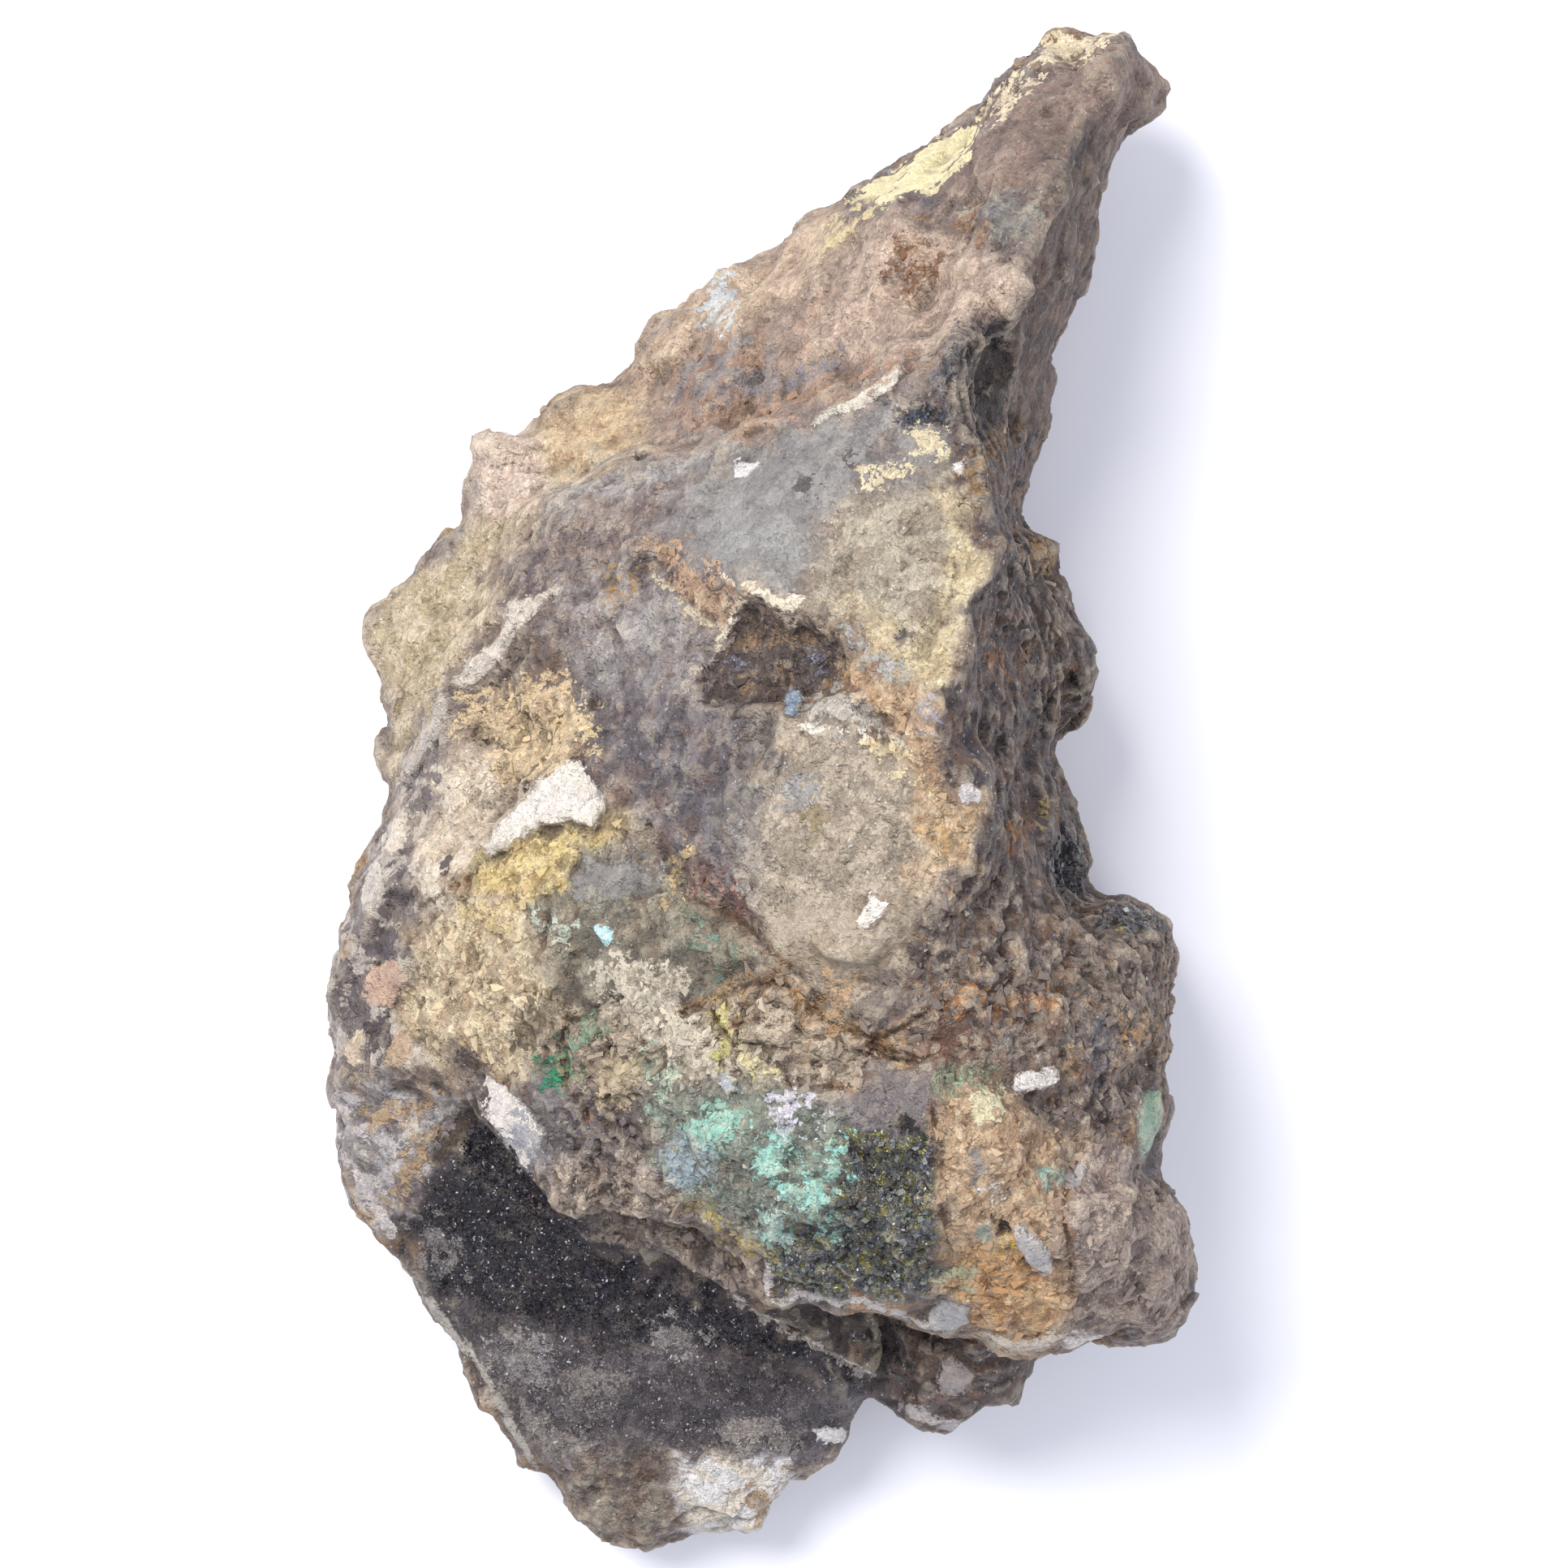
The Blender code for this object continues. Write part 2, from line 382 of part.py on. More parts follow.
def cut_depth(x, y):
    """How deep the seams, vugs and the rough pocket are cut at a plan position, in metres."""
    depths = [CRACK_DEPTH * fade(distance_to_line(x, y, line), CRACK_WIDTH / 2 / UNIT)
              for line in CRACKS.values()]
    depths += [VUG_DEPTH * fade(math.hypot(x - cx, y - cy), radius * VUG_FLARE) for _, cx, cy, radius in VUGS]
    if is_inside(x, y, ROUGH_POCKET):
        depths.append(POCKET_DEPTH)
    return max(depths)


def ridge_height(x, y):
    """How far the rock stands up along its ridges at a plan position, in metres."""
    return max(RIDGE_HEIGHT * fade(distance_to_line(x, y, line), RIDGE_WIDTH / 2 / UNIT)
               for line in RIDGES.values())


def roughen(rock):
    """Breaks up the skin: rough where the rock is broken, quiet on its facets, cut along its seams."""
    mesh = bmesh.new()
    mesh.from_mesh(rock.data)
    mesh.normal_update()
    moved = []
    for vert in mesh.verts:
        x, y = plan_of(vert.co)
        faces_up = vert.normal.z > FACES_UP
        out = broken_surface(vert.co, quiet_share(x, y) if faces_up else 0.0)
        is_upper_rock = vert.co.z > CREST_HEIGHT * UPPER_ROCK * UNIT
        edge = ridge_height(x, y) - cut_depth(x, y) if faces_up and is_upper_rock else 0.0
        moved.append(vert.co + vert.normal * (out + edge))
    for vert, spot in zip(mesh.verts, moved):
        vert.co = spot
    mesh.to_mesh(rock.data)
    mesh.free()


def drop_crumbs(mesh):
    """Deletes every piece that hangs to the rock by less than an edge."""
    left = set(mesh.faces)
    bodies = []
    while left:
        body = {left.pop()}
        front = list(body)
        while front:
            face = front.pop()
            for edge in face.edges:
                for neighbour in edge.link_faces:
                    if neighbour in left:
                        left.remove(neighbour)
                        body.add(neighbour)
                        front.append(neighbour)
        bodies.append(body)
    bodies.sort(key=len)
    crumbs = [face for body in bodies[:-1] for face in body]
    bmesh.ops.delete(mesh, geom=crumbs, context="FACES")


def simplify(rock):
    """Keeps the edges and drops triangles from the quiet faces."""
    triangles = sum(len(face.vertices) - 2 for face in rock.data.polygons)
    fewer = rock.modifiers.new("fewer faces", "DECIMATE")
    fewer.ratio = MOST_TRIANGLES / triangles
    simpler = evaluated_copy(rock, "simpler rock")
    rock.modifiers.clear()
    rock.data = simpler


def cut_resting_face(rock):
    """Cuts the underside flat at z = 0, which is what the rock lies on."""
    mesh = bmesh.new()
    mesh.from_mesh(rock.data)
    everything = mesh.verts[:] + mesh.edges[:] + mesh.faces[:]
    cut = bmesh.ops.bisect_plane(mesh, geom=everything, dist=CUT_TOLERANCE, plane_co=(0, 0, 0),
                                 plane_no=(0, 0, 1), clear_inner=True)
    edges = [item for item in cut["geom_cut"] if isinstance(item, bmesh.types.BMEdge)]
    bmesh.ops.holes_fill(mesh, edges=edges, sides=0)
    bmesh.ops.triangulate(mesh, faces=mesh.faces)
    drop_crumbs(mesh)
    bmesh.ops.recalc_face_normals(mesh, faces=mesh.faces)
    mesh.to_mesh(rock.data)
    mesh.free()


def finish(rock):
    """Gives the rock its material and its crisp, broken shading."""
    stone = bpy.data.materials.new("rusty vein rock")
    stone.use_nodes = True
    shader = stone.node_tree.nodes["Principled BSDF"]
    shader.inputs["Base Color"].default_value = ROCK_COLOUR
    shader.inputs["Roughness"].default_value = ROCK_ROUGHNESS
    shader.inputs["Metallic"].default_value = 0.0
    rock.data.materials.clear()
    rock.data.materials.append(stone)
    rock.data.shade_smooth()
    rock.data.set_sharp_from_angle(angle=SHARP_EDGE)


def main():
    clear_scene()
    rock = layered_solid()
    roughen(rock)
    simplify(rock)
    cut_resting_face(rock)
    finish(rock)


main()
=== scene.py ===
# %% [markdown]
# # A bournonite specimen, dressed for its picture
# The CAD solid gives the rock its size and its main forms. This notebook builds the finished look over
# it: one closed skin with fine relief, painted in patches of quartz, ochre, malachite, turquoise crust
# and dark ore, and small crystals that catch the light. Lengths are in millimetres until a mesh is made,
# because a rock's details are easier to think about in millimetres.

# %% Setup
import itertools
import math

import bpy
import numpy as np
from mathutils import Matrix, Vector


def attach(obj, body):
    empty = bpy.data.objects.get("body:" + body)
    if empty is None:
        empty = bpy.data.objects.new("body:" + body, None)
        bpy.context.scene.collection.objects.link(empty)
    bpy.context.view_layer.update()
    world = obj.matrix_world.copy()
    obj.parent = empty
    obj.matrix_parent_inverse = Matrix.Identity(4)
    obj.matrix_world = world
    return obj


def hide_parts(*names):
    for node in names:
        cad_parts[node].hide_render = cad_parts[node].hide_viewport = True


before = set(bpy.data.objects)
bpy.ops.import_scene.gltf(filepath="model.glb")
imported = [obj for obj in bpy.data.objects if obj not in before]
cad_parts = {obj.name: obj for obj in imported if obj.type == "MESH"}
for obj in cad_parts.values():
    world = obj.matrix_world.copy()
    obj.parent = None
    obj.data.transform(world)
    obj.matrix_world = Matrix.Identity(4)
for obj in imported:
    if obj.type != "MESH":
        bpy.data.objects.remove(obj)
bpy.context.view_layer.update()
rock = bpy.data.objects["bournonite"]
print("CAD solid:", len(rock.data.polygons), "faces")

# %% [markdown]
# ## One camera for the picture and for the painting
# The photograph looks straight down. A camera 420 mm above the shelf matches its perspective, and the
# same numbers say which point of the photograph a point of the rock falls on. So each patch below is
# given by its outline on the photograph, and lands where that mineral is.

# %% Camera
IMAGE_SIZE = 1932
IMAGE_MIDDLE = IMAGE_SIZE / 2
EYE_HEIGHT = 420.0
PLAN_HEIGHT = 25.0
PIXELS_PER_MM = 15.0

MM = 0.001


def to_photo(points):
    """Where points (mm) fall on the photograph, in its pixels."""
    scale = PIXELS_PER_MM * (EYE_HEIGHT - PLAN_HEIGHT) / (EYE_HEIGHT - points[:, 2])
    return np.stack([IMAGE_MIDDLE + points[:, 0] * scale, IMAGE_MIDDLE - points[:, 1] * scale], 1)


lens = bpy.data.cameras.new("photo_lens")
half_width = IMAGE_MIDDLE / PIXELS_PER_MM
lens.angle = 2 * math.atan(half_width / (EYE_HEIGHT - PLAN_HEIGHT))
lens.clip_start = 0.01
lens.clip_end = 10.0
camera = bpy.data.objects.new("photo_camera", lens)
camera.location = (0, 0, EYE_HEIGHT * MM)
bpy.context.scene.collection.objects.link(camera)
bpy.context.scene.camera = camera
print("camera angle:", round(math.degrees(lens.angle), 2), "degrees")

# %% [markdown]
# ## Noise that repeats
# Broken rock is rough at every size. Two kinds of noise make that roughness: a smooth one, which rolls,
# and a cellular one, which splits space into grains with flat faces. Both start from whole-number cells,
# so the rock comes out the same each time. The shifts keep every cell's number above zero.

# %% Noise
ROLLING_SHIFT = 500.5
GRAIN_SHIFT = 500.0
GRAIN_MARGIN = 0.1
GRAIN_SPREAD = 0.8
GRAIN_LEAN = 1.6
GRAIN_STEP = 0.8
GRADIENTS = np.array([g for g in itertools.product((-1, 0, 1), repeat=3) if np.abs(g).sum() == 2], float)


def scramble(cells, salt):
    """A repeatable random whole number for each cell. The large odd numbers only stir the bits."""
    c = cells.astype(np.uint64)
    mixed = c[..., 0] * np.uint64(73856093) ^ c[..., 1] * np.uint64(19349663)
    mixed = mixed ^ c[..., 2] * np.uint64(83492791)
    mixed = (mixed + np.uint64(salt * 7919 + 17)) * np.uint64(0x9E3779B97F4A7C15)
    mixed ^= mixed >> np.uint64(29)
    mixed *= np.uint64(0xBF58476D1CE4E5B9)
    return mixed ^ (mixed >> np.uint64(32))


def chance(cells, salt):
    """A repeatable random number from 0 to 1 for each cell."""
    return (scramble(cells, salt) & np.uint64(0xFFFFF)).astype(float) / 0xFFFFF


def rolling(points, size, salt):
    """Smooth noise from about -1 to 1, with lumps of the given size in mm."""
    scaled = points / size + ROLLING_SHIFT
    home = np.floor(scaled)
    inside = scaled - home
    home = home.astype(np.int64)
    ease = inside**3 * (inside * (inside * 6 - 15) + 10)
    total = np.zeros(len(points))
    for corner in itertools.product((0, 1), repeat=3):
        corner = np.array(corner)
        pick = (scramble(home + corner, salt) % np.uint64(12)).astype(np.int64)
        push = (GRADIENTS[pick] * (inside - corner)).sum(1)
        total += push * np.where(corner, ease, 1 - ease).prod(1)
    return total


def rough_noise(points, size, salt, octaves=3, fall=0.5):
    """Rolling noise over several sizes, each half the one before."""
    total = np.zeros(len(points))
    share = 1.0
    for octave in range(octaves):
        turned = points[:, [octave % 3, (octave + 1) % 3, (octave + 2) % 3]]
        total += share * rolling(turned, size, salt + octave)
        size *= 0.5
        share *= fall
    return total


def grains(points, size, salt):
    """How high each point lies on its own grain's tilted flat face, from about -1 to 1."""
    scaled = points / size + GRAIN_SHIFT
    home = np.floor(scaled).astype(np.int64)
    nearest = np.full(len(points), 9.0)
    offset = np.zeros((len(points), 3))
    owner = home.copy()
    for step in itertools.product((-1, 0, 1), repeat=3):
        cell = home + np.array(step)
        spread = np.stack([chance(cell, salt + k) for k in range(3)], 1)
        away = scaled - (cell + GRAIN_MARGIN + GRAIN_SPREAD * spread)
        gap = np.sqrt((away**2).sum(1))
        closer = gap < nearest
        nearest = np.where(closer, gap, nearest)
        offset[closer] = away[closer]
        owner[closer] = cell[closer]
    lean = np.stack([chance(owner, salt + 5 + k) for k in range(3)], 1) - 0.5
    luck = chance(owner, salt + 9)
    return (lean * offset).sum(1) * GRAIN_LEAN + (luck - 0.5) * GRAIN_STEP


def ramp(values, start, end):
    """0 below start, 1 above end, and an easy slope between."""
    t = np.clip((values - start) / (end - start), 0, 1)
    return t * t * (3 - 2 * t)


# %% [markdown]
# ## Reading outlines
# A patch is an outline on the photograph. What the painting needs is how far inside it a point lies, in
# millimetres: positive inside, negative outside. Past FAR the exact distance no longer matters.

# %% Distances
FAR = 6.0
UNMEASURED = 1e9


def line_distance(spots, path, closed):
    """Distance from each spot to a path, and the signed side of it, both in mm."""
    ends = path[1:] + path[:1] if closed else path[1:]
    best = np.full(len(spots), UNMEASURED)
    side = np.zeros(len(spots))
    for (ax, ay), (bx, by) in zip(path, ends):
        dx, dy = bx - ax, by - ay
        length2 = dx * dx + dy * dy
        if length2 == 0:
            continue
        t = np.clip(((spots[:, 0] - ax) * dx + (spots[:, 1] - ay) * dy) / length2, 0, 1)
        gap = np.hypot(spots[:, 0] - ax - t * dx, spots[:, 1] - ay - t * dy)
        cross = (spots[:, 0] - ax) * dy - (spots[:, 1] - ay) * dx
        closer = gap < best
        best = np.where(closer, gap, best)
        side = np.where(closer, cross / math.sqrt(length2), side)
    return best / PIXELS_PER_MM, np.where(side < 0, -1, 1) * best / PIXELS_PER_MM


def inside_outline(spots, path):
    """Which spots lie inside a closed outline."""
    found = np.zeros(len(spots), bool)
    for (ax, ay), (bx, by) in zip(path, path[1:] + path[:1]):
        crosses = (ay > spots[:, 1]) != (by > spots[:, 1])
        if ay != by:
            found ^= crosses & (spots[:, 0] < (bx - ax) * (spots[:, 1] - ay) / (by - ay) + ax)
    return found


def reach_of(spots, path, width=0.0):
    """How far inside an outline each spot lies, in mm. With a width, the path is a line that wide."""
    reach = np.full(len(spots), -FAR)
    corners = np.array(path, float)
    margin = FAR * PIXELS_PER_MM
    near = ((spots > corners.min(0) - margin) & (spots < corners.max(0) + margin)).all(1)
    picked = spots[near]
    gap, _ = line_distance(picked, path, not width)
    if width:
        reach[near] = width / 2 - gap
    else:
        reach[near] = np.where(inside_outline(picked, path), gap, -gap)
    return np.clip(reach, -FAR, FAR)


# %% [markdown]
# ## What the rock is made of
# Each kind of surface is six shares: glassy, earthy, metallic, drusy, pitted and rugged. They drive
# gloss, relief and speckle later, so a quartz knob and a crust of iron ochre differ in more than colour.

# %% Kinds
KINDS = {
    "rock": (0.25, 0.30, 0.05, 0.20, 0.25, 0.75),
    "worn": (0.20, 0.40, 0.00, 0.30, 0.20, 0.42),
    "sugar": (0.35, 0.15, 0.00, 0.55, 0.10, 0.50),
    "vein": (0.45, 0.10, 0.00, 0.40, 0.05, 0.45),
    "smooth": (0.40, 0.10, 0.00, 0.10, 0.00, 0.25),
    "quartz": (1.00, 0.00, 0.00, 0.15, 0.00, 0.60),
    "earth": (0.05, 1.00, 0.00, 0.25, 0.30, 0.85),
    "rusty": (0.10, 0.85, 0.10, 0.20, 0.60, 1.10),
    "ore": (0.35, 0.00, 0.90, 0.35, 0.35, 1.00),
    "druse": (0.60, 0.10, 0.15, 1.00, 0.05, 0.22),
    "dark": (0.20, 0.15, 0.20, 0.40, 0.50, 0.80),
    "crust": (0.10, 0.50, 0.00, 0.60, 0.20, 0.90),
    "folds": (0.15, 0.30, 0.00, 0.30, 0.35, 1.70),
    "paint": (0.15, 0.00, 0.00, 0.05, 0.00, 0.30),
}

# How crisp the edge of a detail is. A low number lets the noise break the edge up into islands.
CRISPNESS = {
    "rock": 0.45,
    "sugar": 0.45,
    "smooth": 0.45,
    "quartz": 2.0,
    "vein": 1.1,
    "earth": 0.40,
    "rusty": 0.35,
    "ore": 0.50,
    "druse": 0.30,
    "dark": 0.60,
    "crust": 0.35,
    "paint": 1.4,
}

# %% [markdown]
# ## Reading a sheet of patches
# Patches are listed on sheets, one after another. Before the colon stand words and numbers, and after it
# the points of the outline on the photograph, as x,y. A line that starts with four spaces goes on with
# the patch above it. A patch that starts with "low" lies on the shelf, the plate or the chip, one that
# starts with "both" may lie anywhere, and all others are "high", on the rock above.

# %% Reading sheets


def read_sheet(text):
    """Each patch's level, its other words, and its points on the photograph."""
    patches = []
    for line in text.strip().replace("\n    ", " ").splitlines():
        head, tail = line.split(":")
        words = head.split()
        level = words.pop(0) if words[0] in ("low", "both") else "high"
        path = [tuple(int(number) for number in point.split(",")) for point in tail.split()]
        patches.append((level, words, path))
    return patches


def numbers(words):
    return [float(word) for word in words]


# %% [markdown]
# ## The ground
# These large patches cover the rock edge to edge and melt into each other. Each line gives the kind, the
# main colour and a second colour that mottles it, both as the red, green and blue of the screen.

# %% Ground
# The druse on the plate is darkest in the band under the lip: that band is the druse's own dark colour with
# the lip's shadow painted into it, so the plate is painted lighter away from the lip. The two low dark
# patches at the lower right, between the plates, are dark partly in their own colour and partly as painted
# shade of the recess under the ledges above.
GROUND_SHEET = """
worn .54 .44 .39 .45 .37 .33: 1205,165 1230,125 1300,75 1385,36 1410,70 1440,125 1380,165 1350,240
    1335,300 1320,370 1300,440 1290,500 1262,520 1250,400 1255,330 1275,290 1240,240 1150,240
worn .42 .35 .31 .31 .26 .24: 1300,150 1380,165 1350,240 1335,300 1320,370 1300,440 1290,500 1288,530
    1255,540 1240,420 1270,330 1285,240
worn .66 .54 .45 .54 .46 .41: 960,290 1040,250 1090,260 1050,330 1010,400 1100,440 1090,460 1000,510
    930,545 860,560 790,560 770,490 800,420 850,370 900,335
rock .52 .48 .47 .62 .48 .38: 820,440 880,400 960,400 970,470 930,520 860,545 820,520
sugar .74 .63 .54 .62 .52 .45: 1050,300 1100,260 1200,300 1255,330 1245,400 1180,400 1130,430 1080,450
    1000,440 1000,380
sugar .78 .67 .55 .70 .58 .46: 770,480 800,410 860,345 905,330 960,315 985,270 1030,248 1040,300
    1000,340 940,380 890,400 840,430 810,480 780,520
sugar .79 .71 .58 .69 .61 .46: 655,525 580,533 575,580 585,625 565,662 540,690 500,710 458,750 446,803
    478,850 470,950 490,980 510,930 530,870 570,820 610,750 640,690 680,620 740,580 790,540 770,500 720,490
sugar .84 .74 .66 .80 .69 .61: 580,533 650,530 680,570 660,620 620,640 590,625 576,580
sugar .80 .68 .50 .72 .58 .42: 660,520 700,495 770,490 790,530 760,565 700,585 670,560
rock .66 .64 .61 .56 .53 .51: 660,640 690,600 750,575 840,560 930,550 850,590 800,615 720,620 690,650
rock .57 .50 .46 .42 .36 .35: 600,700 640,680 690,640 760,610 830,615 840,650 800,670 790,700 730,700
    700,720 690,760 660,790 640,740
smooth .55 .53 .51 .47 .45 .44: 820,640 850,590 930,550 1010,520 1100,500 1165,520 1172,590 1050,600
    1010,650 1010,700 940,715 880,700 840,660
smooth .56 .55 .53 .50 .48 .46: 840,655 900,620 960,640 1000,660 1010,700 985,718 930,716 890,700
    860,680
sugar .67 .62 .53 .56 .50 .42: 1010,640 1060,605 1172,590 1190,610 1213,680 1222,694 1190,745 1180,800
    1110,790 1060,755 1000,740 985,720 1010,690
sugar .82 .74 .56 .74 .65 .48: 1172,590 1188,605 1199,648 1213,670 1222,694 1205,725 1188,748 1181,790
    1178,830 1165,852 1140,850 1110,820 1080,795 1060,765 1030,745 1050,740 1110,775 1150,770 1165,720
    1180,670 1165,620
rock .60 .57 .55 .50 .46 .45: 700,700 790,700 830,735 880,775 885,800 865,840 858,870 800,880 740,860
    700,830 690,760
rock .44 .41 .42 .33 .30 .32: 700,830 760,850 870,870 930,880 930,940 900,1000 905,1060 860,1060
    830,1020 790,990 750,950 730,900
sugar .58 .55 .50 .45 .42 .41: 930,880 985,885 960,930 950,990 930,1050 945,1110 935,1140 905,1060
    900,1000 930,940
sugar .69 .62 .53 .57 .51 .43: 975,885 1060,895 1110,915 1150,990 1190,1010 1190,1060 1150,1108
    1122,1150 1113,1200 1088,1205 1057,1240 1026,1243 988,1205 945,1166 930,1110 925,1040 955,960
smooth .67 .60 .51 .59 .51 .41: 950,1130 1030,1110 1100,1090 1150,1090 1122,1150 1113,1200 1057,1240
    1026,1243 988,1205 945,1166
earth .80 .66 .50 .76 .60 .44: 1050,815 1100,835 1150,852 1152,870 1130,885 1145,905 1155,945 1170,975
    1150,985 1130,960 1115,915 1085,885 1050,868 1038,845
earth .78 .65 .48 .72 .56 .38: 1130,960 1165,985 1225,985 1222,1012 1200,1045 1200,1062 1160,1080
    1120,1085 1150,1040 1140,1000
dark .29 .25 .26 .40 .33 .30: 1165,505 1250,520 1288,530 1256,640 1300,690 1342,830 1300,915 1340,1080
    1345,1115 1300,1120 1200,1090 1205,1040 1225,985 1165,960 1152,900 1180,800 1190,745 1222,694 1199,648
    1172,567
rusty .40 .34 .31 .28 .25 .25: 1250,640 1290,700 1325,790 1340,860 1300,900 1270,880 1250,780
rusty .52 .45 .40 .38 .33 .31: 1115,1200 1125,1150 1160,1095 1210,1060 1290,1100 1345,1112 1410,1110
    1445,1150 1450,1200 1440,1320 1400,1330 1300,1312 1215,1318 1150,1300 1110,1260
quartz .68 .63 .58 .36 .31 .31: 540,865 500,945 470,1020 435,1100 418,1180 400,1260 400,1330 500,1350
    525,1310 500,1260 498,1180 520,1120 560,1090 545,1050 555,960
sugar .84 .77 .67 .76 .67 .56: 545,930 600,920 650,965 640,1000 600,1050 570,1090 530,1110 505,1100
    510,1030 540,990
earth .84 .74 .44 .69 .58 .35: 590,1065 640,1035 690,1015 735,1015 770,1020 720,1060 700,1100 640,1110
    590,1095
earth .84 .76 .60 .68 .58 .45: 565,1095 640,1105 660,1140 700,1230 660,1300 650,1340 600,1320 560,1290
    520,1308 502,1240 505,1165 530,1125
rock .52 .49 .41 .38 .35 .30: 690,1060 820,1050 850,1100 905,1130 960,1190 950,1207 880,1228 840,1245
    780,1260 700,1250 660,1180 660,1120
folds .68 .60 .50 .50 .43 .37: 700,1250 840,1245 950,1207 1040,1265 1150,1300 1150,1370 1060,1350
    960,1340 900,1330 800,1350 720,1340 660,1300
crust .52 .55 .48 .40 .42 .38: 790,1350 900,1330 960,1340 1040,1370 1040,1480 960,1545 880,1500 830,1480
    800,1430
ore .20 .21 .25 .34 .34 .27: 1030,1380 1100,1380 1150,1400 1160,1500 1175,1540 1150,1600 1050,1600
    960,1590 930,1560 960,1530 1030,1480
smooth .51 .47 .46 .42 .38 .38: 1020,1350 1060,1330 1150,1310 1160,1370 1150,1400 1090,1385 1040,1390
earth .76 .63 .48 .64 .50 .37: 1155,1360 1190,1320 1250,1340 1300,1400 1340,1400 1320,1470 1310,1520
    1320,1600 1310,1650 1260,1675 1200,1660 1180,1620 1160,1560 1165,1520 1150,1440
earth .76 .57 .36 .64 .45 .27: 1165,1540 1250,1545 1315,1570 1320,1620 1250,1640 1200,1625 1160,1590
rusty .36 .30 .28 .52 .45 .41: 1260,1345 1310,1335 1400,1330 1405,1400 1360,1410 1320,1400 1280,1380
crust .66 .58 .52 .50 .43 .40: 1330,1420 1400,1410 1440,1470 1475,1510 1475,1600 1460,1655 1400,1660
    1330,1650 1310,1600 1305,1500
both folds .64 .57 .51 .44 .38 .35: 660,1430 700,1400 790,1400 830,1450 835,1495 900,1550 940,1600
    880,1590 820,1540 760,1540 700,1500
both folds .30 .26 .27 .42 .38 .37: 690,1350 760,1360 790,1400 740,1420 690,1400
both rock .50 .48 .49 .36 .33 .33: 650,1345 700,1350 710,1400 670,1440 645,1430 665,1400
low quartz .67 .64 .63 .45 .41 .40: 395,1330 500,1345 590,1340 560,1375 545,1430 510,1470 480,1525
    435,1480 405,1400
low druse .085 .078 .118 .145 .122 .162: 590,1350 650,1430 760,1540 900,1600 1080,1700 1060,1720
    950,1680 800,1660 640,1640 540,1600 485,1515 545,1430
low druse .36 .325 .34 .24 .215 .23: 520,1600 640,1640 800,1660 950,1680 1055,1720 1030,1780 980,1800
    830,1790 700,1800 620,1740
low rock .50 .45 .40 .38 .33 .30: 650,1780 830,1780 840,1900 780,1915 700,1885 680,1830
low quartz .83 .81 .79 .78 .72 .63: 832,1800 900,1790 985,1798 985,1850 940,1895 870,1905 838,1880
low dark .27 .22 .22 .42 .36 .34: 1085,1610 1200,1640 1280,1655 1255,1710 1180,1760 1090,1760
low dark .30 .25 .23 .20 .16 .16: 900,1590 960,1605 1085,1610 1085,1700 1000,1660 920,1610
"""
GROUND = [
    (level, words[0], numbers(words[1:4]), numbers(words[4:7]), outline)
    for level, words, outline in read_sheet(GROUND_SHEET)
]
print(len(GROUND), "ground patches")
